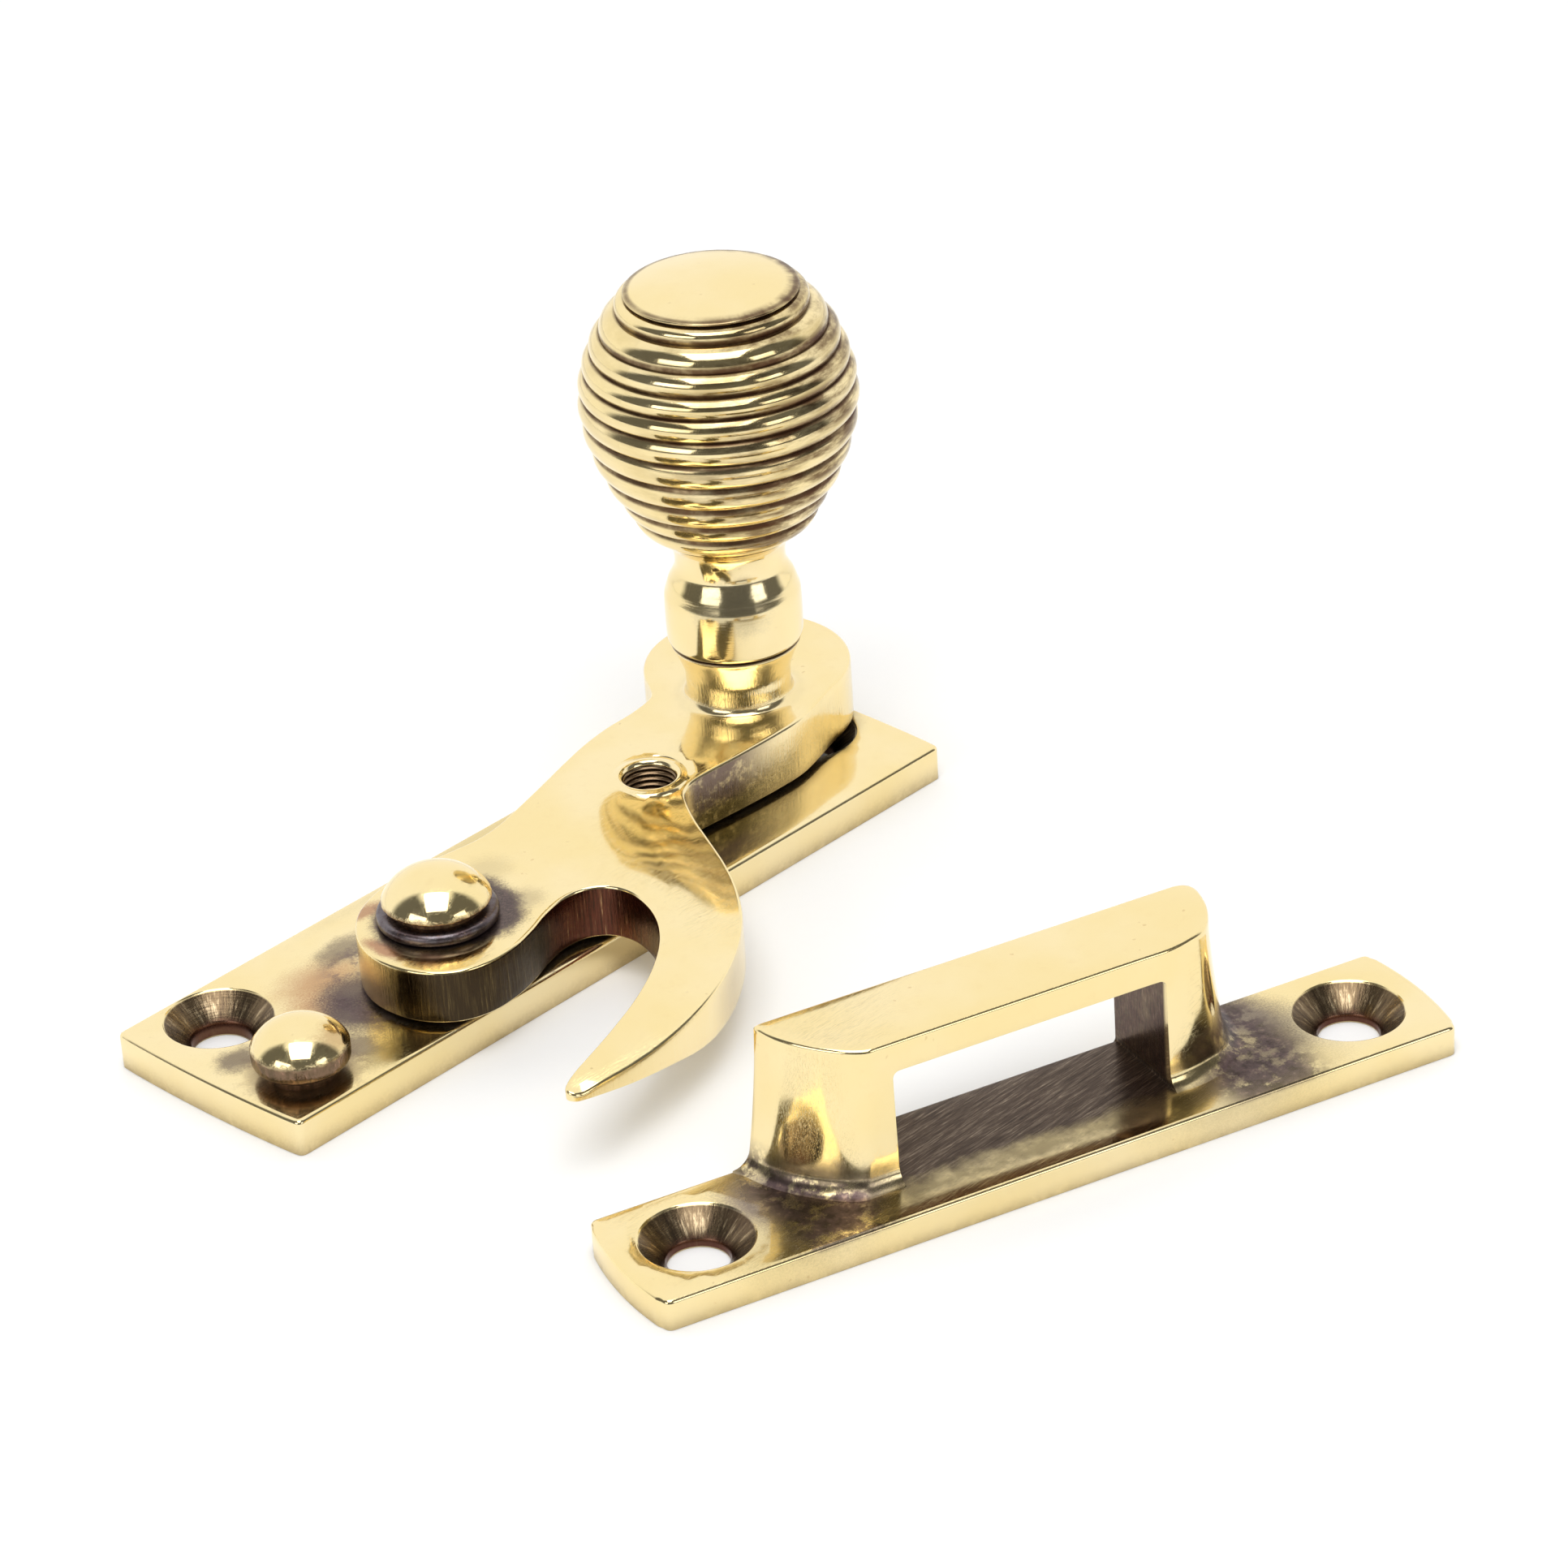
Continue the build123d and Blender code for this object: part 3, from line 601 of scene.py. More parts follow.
def lever_outline():
    disc = []
    for deg in [*range(-80, 146, 9), 150]:
        a = math.radians(deg)
        disc.append((DISC_C[0] + DISC_R * math.cos(a), DISC_C[1] + DISC_R * math.sin(a)))
    points = EYE_AND_THROAT + TIP + HOOK_OUTER + HOOK_TO_ARM + ARM_LOW + disc + ARM_HIGH
    return resample(smooth_curve(points, True, 0.12), 0.17)


LEVER_OUTLINE = lever_outline()
OUTER_LINE = smooth_curve(HOOK_OUTER + [(25.2, -1.65), (26.6, -1.3)], False, 0.3)


def cant(p):
    """Depth by which the hook is worn away towards its outer edge."""
    from_outer = distance(p, OUTER_LINE, closed=False)
    on_hook = smooth01((p[:, 0] + 12) / 14) * smooth01((27.5 - p[:, 0]) / 5)
    return 0.42 * on_hook * (1 - smooth01(from_outer / 5.0))


def lever_top(p, d=None):
    """Top of the lever; d is the distance from the outline where it is already known."""
    p = np.asarray(p, float)
    if d is None:
        d = distance(p, LEVER_OUTLINE)
    edge = LEVER_EDGE
    z = LEVER_Z1 + LEVER_RISE * smooth01((p[:, 0] - 8) / 34)
    near = np.clip(d, 0, edge)
    z = z - (edge - np.sqrt(np.maximum(edge * edge - (edge - near) ** 2, 0)))
    # softer shoulder behind the rounding
    z -= 0.10 * np.exp(-np.maximum(d - edge, 0) / 1.1) * smooth01(d / edge)
    z -= cant(p)
    # towards the tip the outer shoulder is rounder and the nose falls away
    from_outer = distance(p, OUTER_LINE, closed=False)
    near_tip = smooth01((9.0 - p[:, 0]) / 14) * smooth01((-12 - p[:, 1]) / 4)
    z -= 0.42 * near_tip * np.exp(-(from_outer / 0.95) ** 1.7)
    z -= 0.22 * smooth01((-7.8 - p[:, 0]) / 3.0) * smooth01((-18 - p[:, 1]) / 3)
    z += soft_noise(p, 5.0, 11, 0.018) * np.clip(d / 1.5, 0, 1)
    return z


def lever_under(p):
    """Underside: flat, lifting towards the tip of the hook."""
    p = np.asarray(p, float)
    curve = np.array(smooth_curve(HOOK_UNDER, False, 0.3))
    z = np.interp(p[:, 0], curve[:, 0], curve[:, 1])
    return np.where(p[:, 1] < -12, z, LEVER_Z0)


LOCK_TOP = float(lever_top(np.array([LOCK_XY]), np.array([3.0]))[0])


def lever_sides():
    """Rings of the side wall and the rounded upper edge."""
    outline = LEVER_OUTLINE
    top = lever_top(outline, np.zeros(len(outline)))
    under = lever_under(outline)
    rings = []
    for share, depth, lift in LEVER_WALL:
        rings.append(ring3(inset(outline, depth), under + (top - under) * share + lift))
    for depth in EDGE_INSETS:
        ring = inset(outline, depth)
        rings.append(ring3(ring, lever_top(ring, np.full(len(ring), depth))))
    return rings


def boss_rings(foot):
    """Boss under the knob, its foot blended into the top of the lever."""
    rings = [ring3(foot, lever_top(foot))]
    for r, h in smooth_curve(BOSS, False, 0.12):
        ring = circle(KNOB_XY, r)
        blend = min(1.0, max(0.0, h / 1.2))
        rings.append(ring3(ring, lever_top(ring) * (1 - blend) + BOSS_FOOT_Z * blend + h))
    return rings + turned_rings(KNOB_XY, [
        (5.22, BOSS_TOP - 0.16), (5.14, BOSS_TOP - 0.04), (5.02, BOSS_TOP), (2.5, BOSS_TOP),
        (2.5, KNOB_STUD_LO[2] - 0.3)])


def lock_hole_rings(mouth):
    """Threaded hole with a raised, rounded lip."""
    lip = [(r, LOCK_TOP + h) for r, h in LOCK_LIP]
    profile = [tuple(q) for q in smooth_curve(lip, False, 0.05)]
    z = LOCK_TOP - 0.34
    while z > LEVER_Z0 + 0.5:
        profile += [(r, z - drop) for r, drop in THREAD]
        z -= THREAD_PITCH
    profile.append((LOCK_BORE, LEVER_Z0))
    return [ring3(mouth, lever_top(mouth))] + turned_rings(LOCK_XY, profile)


def add_tilt(lever):
    """Store the lean of the top face as the point attribute "tilt"."""
    co = np.zeros(len(lever.data.vertices) * 3)
    lever.data.vertices.foreach_get("co", co)
    co = co.reshape(-1, 3) / MM
    plan = co[:, :2]
    gap2 = ((plan[:, None, :] - TILT[None, :, :2]) ** 2).sum(2)
    weight = np.exp(-gap2 / (2 * TILT_REACH ** 2)) + 1e-7 / (gap2 + 0.5)
    tilt = (weight @ TILT[:, 2:]) / weight.sum(1)[:, None]
    # take away the slope that the mesh already has from its wear
    delta = 0.1
    for axis, offset in enumerate(([delta, 0], [0, delta])):
        tilt[:, axis] -= (cant(plan + offset) - cant(plan - offset)) / (2 * delta)
    tilt *= (smooth01((co[:, 2] - 6.6) / 0.5)[:, None]
             * smooth01((27.5 - co[:, 0]) / 2.5)[:, None])
    attribute = lever.data.attributes.new("tilt", "FLOAT_VECTOR", "POINT")
    vectors = np.concatenate([tilt, np.zeros((len(tilt), 1))], 1)
    attribute.data.foreach_set("vector", vectors.ravel())


def build_lever():
    shell = Shell()
    shell.rings(lever_sides())
    boss_foot = circle(KNOB_XY, 5.2)
    boss = boss_rings(boss_foot)
    shell.rings(boss)
    shell.fan((KNOB_XY[0], KNOB_XY[1], KNOB_STUD_LO[2] - 0.3), boss[-1])
    lock_mouth = circle(LOCK_XY, 3.15)
    shell.rings(lock_hole_rings(lock_mouth))
    eye = circle(POST_XY, EYE_R)
    shell.rings([ring3(eye, lever_top(eye)), ring3(eye, LEVER_Z0)])
    top_rim = inset(LEVER_OUTLINE, LEVER_EDGE)
    shell.add(*cap(top_rim, [boss_foot, lock_mouth, eye], lever_top, 0.62))
    under_rim = inset(LEVER_OUTLINE, LEVER_WALL[0][1])
    shell.add(*cap(under_rim, [circle(LOCK_XY, LOCK_BORE), eye], lever_under, 1.2))
    lever = make("hook_lever_v", shell.verts, shell.faces, "lever", ["hook_lever"], 55)
    add_tilt(lever)
    return lever


# ------------------------------------------------------------------ keep
def keep_place(q):
    """From (u, v, z) on the keep to the row frame."""
    c, s = math.cos(KEEP_TURN), math.sin(KEEP_TURN)
    return (KEEP_C[0] + q[0] * c - q[1] * s, KEEP_C[1] + q[0] * s + q[1] * c, q[2])


def build_keep_plate():
    outline = plate_outline(-KEEP_L / 2, KEEP_L / 2, -KEEP_W / 2, KEEP_W / 2,
                            bow=KEEP_BOW, corner_r=0.6, step=0.2)
    return plate("keep_plate_v", outline, 0.0, KEEP_T, [(u, 0) for u in KEEP_SCREWS], "keep",
                 ["sash_keep"], wander=0.014, seed=9, place=keep_place)


def loop_outline(u0, u1, v0, v1, r):
    """Plan of the loop: straight on both v sides, with large corners on the -v side."""
    width = v1 - v0
    corner_a = smooth_curve([
        (u0 + 0.05, v1 - 0.4), (u0 + r * 0.10, v0 + width * 0.68), (u0 + r * 0.28, v0 + width * 0.42),
        (u0 + r * 0.62, v0 + width * 0.12), (u0 + r * 0.85, v0 + 0.05), (u0 + r, v0),
        (u0 + r + 2.0, v0)], False, 0.15)
    corner_b = smooth_curve([
        (u1 - r - 2.0, v0), (u1 - r, v0), (u1 - r * 0.7, v0 + width * 0.05),
        (u1 - r * 0.38, v0 + width * 0.16), (u1 - r * 0.1, v0 + width * 0.5), (u1, v1 - 1.2),
        (u1 - 0.12, v1 - 0.6), (u1 - 0.4, v1 - 0.25), (u1 - 0.75, v1 - 0.08),
        (u1 - 1.2, v1)], False, 0.15)
    closing = [(u0 + 0.35, v1), (u0 + 0.12, v1 - 0.1)]
    return resample([tuple(q) for q in corner_a + corner_b] + closing, count=240)


def loop_at(z, shrink=0.0, grow=0.0):
    """Outline of the loop at a height, flaring out towards the plate."""
    t = (z - (KEEP_T - 0.6)) / (KEEP_TOP - (KEEP_T - 0.6))
    flare = float(np.interp(t, [0, 0.38, 1.0], [1.35, 0.62, 0.0]))
    flare = 1.35 * (1 - t) ** 1.6 * 0.9 + flare * 0.1
    flare_v = 0.35 * (1 - t) ** 1.6
    g = grow - shrink
    return loop_outline(LOOP_U0 - flare - g, LOOP_U1 + flare + g, LOOP_V0 - flare_v - g,
                        KEEP_W / 2 - 0.02 - shrink, 6.2 + 0.3 * (1 - t) + g * 0.5)


def loop_shell():
    fillet = LOOP_FILLET
    stations = [(KEEP_T - 0.5, fillet), (KEEP_T - 0.08, fillet)]      # (z, growth)
    for h in (0.0, 0.03, 0.08, 0.15, 0.25, 0.38, 0.54, 0.75, 1.0, 1.25):
        growth = fillet - math.sqrt(max(fillet * fillet - (fillet - h) ** 2, 0))
        stations.append((KEEP_T - 0.05 + h, growth))
    levels = [(loop_at(z, grow=growth), z) for z, growth in stations]
    levels += [(loop_at(z), z) for z in np.linspace(KEEP_T + 1.6, KEEP_TOP - 0.6, 14)]
    edge = 0.34
    for i in range(7):
        a = math.radians(90 * i / 6)
        z = KEEP_TOP - edge + edge * math.sin(a)
        levels.append((loop_at(z, shrink=edge * (1 - math.cos(a))), z))
    shell = Shell()
    shell.rings([ring3(outline, z) for outline, z in levels])
    (foot, foot_z), (top, top_z) = levels[0], levels[-1]

    def worn_top(p):
        return top_z + soft_noise(p, 4.0, 21, 0.012) * np.clip(distance(p, top) / 1.0, 0, 1)

    shell.add(*cap(top, [], worn_top, 0.9))
    shell.add(*cap(foot, [], lambda p: np.full(len(p), foot_z), 3.0))
    return shell


def cut_opening(loop):
    """Cut a rounded box through the loop along v."""
    z0, r = KEEP_T - 0.35, 0.55
    section = []
    for u, z, start in [(OPEN_U1 - r, z0 + r, -90), (OPEN_U1 - r, OPEN_TOP - r, 0),
                        (OPEN_U0 + r, OPEN_TOP - r, 90), (OPEN_U0 + r, z0 + r, 180)]:
        section += quarter_arc(u, z, r, start, 8)
    n = len(section)
    prism = Shell()
    prism.rings([[(u, v, z) for u, z in section] for v in (-20, 20)])
    prism.faces += [tuple(range(n)), tuple(range(2 * n - 1, n - 1, -1))]
    cutter = make("cutter", prism.verts, prism.faces, "keep")
    cut = loop.modifiers.new("cut", "BOOLEAN")
    cut.operation = "DIFFERENCE"
    cut.solver = "EXACT"
    cut.object = cutter
    graph = bpy.context.evaluated_depsgraph_get()
    mesh = bpy.data.meshes.new_from_object(loop.evaluated_get(graph))
    loop.modifiers.clear()
    loop.data = mesh
    bpy.data.objects.remove(cutter)


def soften_opening(mesh):
    """Bevel the rims of the opening on both faces."""
    bm = bmesh.new()
    bm.from_mesh(mesh)
    bmesh.ops.remove_doubles(bm, verts=bm.verts, dist=1e-6)
    rim = []
    for edge in bm.edges:
        if len(edge.link_faces) != 2:
            continue
        middle = (edge.verts[0].co + edge.verts[1].co) * 500
        at_opening = (OPEN_U0 - 0.1 < middle.x < OPEN_U1 + 0.1
                      and KEEP_T + 0.7 <= middle.z < OPEN_TOP + 0.1)
        if at_opening and edge.calc_face_angle(0) > math.radians(55):
            rim.append(edge)
    bmesh.ops.bevel(bm, geom=rim, offset=0.26 * MM, segments=3, profile=0.5, affect="EDGES",
                    clamp_overlap=True)
    bm.to_mesh(mesh)
    bm.free()


def build_keep_loop():
    shell = loop_shell()
    loop = make("keep_loop_v", shell.verts, shell.faces, "keep", sharp_deg=50)
    cut_opening(loop)
    mesh = loop.data
    soften_opening(mesh)
    for vertex in mesh.vertices:
        vertex.co = [c * MM for c in keep_place([c / MM for c in vertex.co])]
    mesh.polygons.foreach_set("use_smooth", [True] * len(mesh.polygons))
    mesh.set_sharp_from_angle(angle=math.radians(40))
    weighted = loop.modifiers.new("wn", "WEIGHTED_NORMAL")
    weighted.keep_sharp = True
    weighted.weight = 80
    return loop


# ------------------------------------------------------------------ node helpers
class Value:
    """An output socket that can stand in a formula; each operator becomes one Math node."""

    def __init__(self, nodes, socket):
        self.nodes, self.socket = nodes, socket

    def __add__(self, other):
        return self.nodes.math("ADD", self, other)

    def __radd__(self, other):
        return self.nodes.math("ADD", other, self)

    def __sub__(self, other):
        return self.nodes.math("SUBTRACT", self, other)

    def __rsub__(self, other):
        return self.nodes.math("SUBTRACT", other, self)

    def __mul__(self, other):
        return self.nodes.math("MULTIPLY", self, other)

    def __truediv__(self, other):
        return self.nodes.math("DIVIDE", self, other)

    def __pow__(self, other):
        return self.nodes.math("POWER", self, other)


class Nodes:
    """Short ways to add nodes to an emptied tree."""

    def __init__(self, tree):
        self.tree = tree
        tree.nodes.clear()

    def new(self, kind, inputs=(), **settings):
        """Add a node; inputs are keyed by index or name, and None leaves one alone."""
        node = self.tree.nodes.new(kind)
        for key, value in settings.items():
            setattr(node, key, value)
        for key, value in dict(inputs).items():
            if value is not None:
                self.put(node.inputs[key], value)
        return node

    def put(self, socket, value):
        value = getattr(value, "socket", value)
        if isinstance(value, bpy.types.NodeSocket):
            self.tree.links.new(value, socket)
        elif socket.type == "RGBA":
            socket.default_value = (*value, 1.0)[:4]
        else:
            socket.default_value = value

    def out(self, kind, output, inputs=(), **settings):
        return Value(self, self.new(kind, inputs, **settings).outputs[output])

    def math(self, kind, a, b=None):
        return self.out("ShaderNodeMath", 0, {0: a, 1: b}, operation=kind)

    def max(self, a, b):
        return self.math("MAXIMUM", a, b)

    def hypot(self, a, b):
        return self.math("SQRT", a * a + b * b)

    def vector(self, kind, a, b=None, scale=None):
        output = "Value" if kind in ("LENGTH", "DOT_PRODUCT") else "Vector"
        return self.out("ShaderNodeVectorMath", output, {0: a, 1: b, "Scale": scale},
                        operation=kind)

    def split(self, vector):
        return [Value(self, s) for s in self.new("ShaderNodeSeparateXYZ", {0: vector}).outputs]

    def combine(self, x, y, z):
        return self.out("ShaderNodeCombineXYZ", 0, {0: x, 1: y, 2: z})

    def from_axis(self, x, y):
        return self.vector("LENGTH", self.combine(x, y, 0.0))

    def noise(self, vector, scale=1.0, detail=4.0, rough=0.55, output="Fac"):
        return self.out("ShaderNodeTexNoise", output, {
            "Vector": vector, "Scale": scale, "Detail": detail, "Roughness": rough})

    def voronoi(self, vector, scale):
        return self.out("ShaderNodeTexVoronoi", "Distance", {"Vector": vector, "Scale": scale})

    def ramp(self, value, *stops):
        """Eased colour ramp through (position, colour) stops."""
        node = self.new("ShaderNodeValToRGB", {0: value})
        elements = node.color_ramp.elements
        node.color_ramp.interpolation = "EASE"
        while len(elements) < len(stops):
            elements.new(0.5)
        for element, (position, colour) in zip(elements, stops):
            element.position = position
            element.color = (*colour, 1)
        return Value(self, node.outputs[0])

    def step(self, value, off, on, low=0.0, high=1.0):
        """Smooth step: low where value is at off, high where it is at on."""
        rising = off < on
        return self.out("ShaderNodeMapRange", "Result", {
            "Value": value, "From Min": min(off, on), "From Max": max(off, on),
            "To Min": low if rising else high, "To Max": high if rising else low},
            interpolation_type="SMOOTHSTEP")

    def mix(self, factor, a, b):
        return self.out("ShaderNodeMix", 2, {0: factor, 6: a, 7: b}, data_type="RGBA")

    def mapping(self, vector, loc=(0, 0, 0), turn=0.0, scale=(1, 1, 1)):
        return self.out("ShaderNodeMapping", 0, {
            "Vector": vector, "Location": loc, "Rotation": (0, 0, turn), "Scale": scale})

    def bump(self, height, depth, strength=1.0, normal=None):
        return self.out("ShaderNodeBump", "Normal", {
            "Strength": strength, "Distance": depth * MM, "Height": height, "Normal": normal})


class Surface(Nodes):
    """A material under construction: colour, roughness and normal are built up in turn."""

    def __init__(self, name):
        self.material = bpy.data.materials.new(name)
        self.material.use_nodes = True
        super().__init__(self.material.node_tree)
        self.col = self.rough = self.normal = None
        metres = self.out("ShaderNodeTexCoord", "Object")
        self.co = self.vector("SCALE", metres, scale=1000.0)      # millimetres, row frame

    @cached_property
    def facing(self):
        return self.out("ShaderNodeNewGeometry", "Normal")

    def up(self):
        """Z of the surface normal."""
        return self.split(self.facing)[2]

    def tint(self, mask, colour):
        self.col = self.mix(mask, self.col, colour)

    def dull(self, mask, amount):
        self.rough = self.rough + mask * amount

    def stain(self, mask, colour, cover, dull):
        self.tint(mask * cover, colour)
        self.dull(mask, dull)

    def relief(self, height, depth):
        self.normal = self.bump(height, depth, normal=self.normal)

    def blob(self, centre, size, soft, wander=0.0, scale=None):
        """1 inside an ellipsoid, fading to 0 outside, with a wandering, grainy border."""
        d = self.vector("LENGTH", self.mapping(
            self.co, loc=[-c / s for c, s in zip(centre, size)], scale=[1 / s for s in size]))
        if wander:
            d = d + (self.noise(self.co, scale=scale, detail=5.0, rough=0.6) - 0.5) * wander
            grain = self.noise(self.co, scale=6.0, detail=6.0, rough=0.85)
            d = d + (grain - 0.5) * (2.2 * soft + 0.3)
        return self.step(d, off=1.0 + soft, on=1.0 - soft)

    def finish(self, metal=1.0, **inputs):
        shader = self.new("ShaderNodeBsdfPrincipled", {
            "Base Color": self.col, "Roughness": self.rough, "Metallic": metal,
            "Normal": self.normal, **inputs})
        self.new("ShaderNodeOutputMaterial", {"Surface": shader.outputs[0]})
        return self.material


def paint(ob, material):
    ob.data.materials.clear()
    ob.data.materials.append(material)


# ------------------------------------------------------------------ brass
BRASS = (0.905, 0.735, 0.375)
BRASS_PALE = (0.925, 0.775, 0.455)
BRASS_RED = (0.72, 0.43, 0.17)
SPECK = (0.45, 0.22, 0.07)
CREVICE_SHADE_BROWN = (0.075, 0.035, 0.022)
OLIVE_STAIN_AND_SHADOW = (0.33, 0.25, 0.10)
PURPLE_STAIN_AND_SHADOW = (0.085, 0.056, 0.064)
KEEP_PURPLE = (0.135, 0.105, 0.108)
KEEP_PURPLE_PALE = (0.215, 0.17, 0.165)
RUST = (0.40, 0.14, 0.05)
EYE_RED = (0.36, 0.13, 0.08)
JOINT_DIRT = (0.07, 0.03, 0.016)
BORE_RED = (0.09, 0.022, 0.02)
# bronze colours of a countersink: (streak, colour)
TURNED = [(0.34, (0.055, 0.032, 0.024)), (0.52, (0.13, 0.085, 0.05)),
          (0.66, (0.42, 0.32, 0.2)), (0.8, (0.8, 0.66, 0.45))]

# Stain tables below hold, for each stain, and in the base's table each painted shadow:
# centre, radii, border softness, border wander, wander scale, colour, cover, added roughness


def brass(name, rough, stains_and_shadows=(), scratch_dir=0.0, scratch=1.0, tarnish=0.5, pits=1.0,
          wave=0.05, top_only=False, lean=None, extra=None):
    """Polished old brass with mottling, scratches, pits, painted shade in crevices, and placed stains
    and painted shadows.

    top_only keeps the stains and painted shadows to upward faces; lean names a vector attribute
    that tips the normals of upward faces; extra adds a piece's own details.
    """
    m = Surface(name)
    co = m.co
    broad = m.noise(co, scale=0.09, detail=3.0, rough=0.5)
    fine = m.noise(co, scale=1.1, detail=6.0, rough=0.65)
    m.col = m.mix(m.step(broad, off=0.35, on=0.7), BRASS, BRASS_PALE)
    m.tint(m.step(fine, off=0.5, on=0.78) * (0.14 * tarnish), BRASS_RED)

    # orange-brown specks
    jitter = m.vector("SCALE", m.noise(co, scale=2.0, detail=2.0, output="Color"), scale=0.5)
    cells = m.voronoi(m.vector("ADD", co, jitter), scale=0.9)
    specks = (m.step(cells, off=0.16, on=0.05)
              * m.step(m.noise(co, scale=0.35, detail=2.0), off=0.56, on=0.66))
    m.tint(specks * (0.55 * tarnish), SPECK)

    # two crossed families of scratches, and pits
    along = m.mapping(co, turn=-scratch_dir, scale=(0.16, 6.5, 1.5))
    across = m.mapping(co, turn=-scratch_dir + 0.35, scale=(0.3, 9.0, 2.0))
    brushed = m.noise(along, detail=5.0, rough=0.7)
    crossed = m.noise(across, detail=3.0, rough=0.6)
    thin = m.step(m.math("ABSOLUTE", crossed - 0.5), off=0.012, on=0.0)
    pit = (m.step(m.voronoi(co, scale=2.6), off=0.12, on=0.03)
           * m.step(m.noise(co, scale=0.8, detail=2.0), off=0.5, on=0.62))

    # painted shade: crevices found by ambient occlusion are tinted dark brown, patchily, and made
    # duller
    open_air = m.out("ShaderNodeAmbientOcclusion", "AO", {"Distance": 2.2 * MM}, samples=6)
    crevice_shade = 1.0 - m.step(open_air, off=0.25, on=0.85)
    crevice_shade = crevice_shade * m.step(m.noise(co, scale=0.9, detail=4.0, rough=0.6),
                               off=0.2, on=0.6, low=0.5, high=1.0)
    m.tint(crevice_shade * 0.75, CREVICE_SHADE_BROWN)
    m.rough = rough + (brushed - 0.5) * (0.06 * scratch)
    m.dull(m.step(broad, off=0.3, on=0.75), 0.03)
    m.dull(crevice_shade, 0.25)
    m.dull(thin, 0.08 * scratch)

    if top_only or lean:
        upward = m.step(m.up(), off=0.45, on=0.8)
    # each entry tints and dulls a blob: a stain, and in the base's table also a painted shadow round
    # the stop stud
    for centre, size, soft, wander, scale, colour, cover, dull in stains_and_shadows:
        mask = m.blob(centre, size, soft, wander, scale) * cover
        if top_only:
            mask = mask * upward
        m.tint(mask, colour)
        m.dull(mask, dull)

    height = (brushed - 0.5) * (0.5 * scratch)
    height = height - thin * (0.25 * scratch)
    height = height - pit * (1.2 * pits)
    height = height + m.noise(co, scale=3.0, detail=3.0) * 0.25
    if lean:
        attribute = m.out("ShaderNodeAttribute", "Vector", attribute_name=lean)
        world = m.out("ShaderNodeVectorTransform", 0, {0: attribute}, vector_type="VECTOR",
                      convert_from="OBJECT", convert_to="WORLD")
        tipped = m.vector("ADD", m.facing, m.vector("SCALE", world, scale=upward))
        m.normal = m.vector("NORMALIZE", tipped)
    m.normal = m.bump(m.noise(co, scale=0.22, detail=2.0), wave, strength=0.5, normal=m.normal)
    m.relief(height, depth=0.0025)
    if extra:
        extra(m)
    m.rough = m.math("MINIMUM", m.max(m.rough, 0.05), 0.9)
    return m.finish()


def countersink(m, dx, dy, z, top, ringed):
    """Turned countersink with radial streaks and a maroon bore."""
    r = m.hypot(dx, dy)
    mask = (m.step(r, off=CSK_R + 0.06, on=CSK_R - 0.1)
            * m.step(z, off=top - 0.03, on=top - 0.16) * m.step(z, off=0.03, on=0.12))
    angle = m.math("ARCTAN2", dy, dx)
    streak = m.noise(m.combine(angle * 9.0, r * 0.5, 0.0), detail=4.0, rough=0.7)
    bore = m.step(r, off=SCREW_R + 0.5, on=SCREW_R - 0.1)
    m.stain(mask, m.mix(bore, m.ramp(streak, *TURNED), BORE_RED), cover=0.95, dull=0.16)
    height = streak
    if ringed:
        height = streak + m.noise(m.combine(r * 6.0, angle * 0.6, 0.0), detail=3.0, rough=0.6)
    m.relief(height * mask, depth=0.03)


def base_details(m):
    x, y, z = m.split(m.co)
    for screw_x, screw_y in BASE_SCREWS:
        countersink(m, x - screw_x, y - screw_y, z, BASE_TOP, ringed=True)

    # broken dark ring round the pivot, only on the top face
    upward = m.step(m.up(), off=0.6, on=0.9)
    d = m.from_axis(x, y)
    ring = m.step(d, off=5.2, on=6.6) * m.step(d, off=10.6, on=7.4)
    grain = m.noise(m.co, scale=4.5, detail=5.0, rough=0.75)
    patchy = m.noise(m.co, scale=0.33, detail=5.0, rough=0.65) + (grain - 0.5) * 0.35
    ring = ring * upward * m.step(patchy, off=0.47, on=0.60)
    ring = ring * m.step(z, off=BASE_TOP - 0.3, on=BASE_TOP - 0.1)
    soot = m.mix(m.step(grain, off=0.4, on=0.65), (0.10, 0.065, 0.07), (0.20, 0.14, 0.14))
    m.stain(ring, soot, cover=0.7, dull=0.16)

    # browner towards the bottom of the side walls
    side = m.step(m.up(), off=0.3, on=0.1) * m.step(z, off=2.0, on=0.3)
    m.tint(side * m.step(grain, off=0.3, on=0.7, low=0.06, high=0.2), (0.30, 0.19, 0.08))


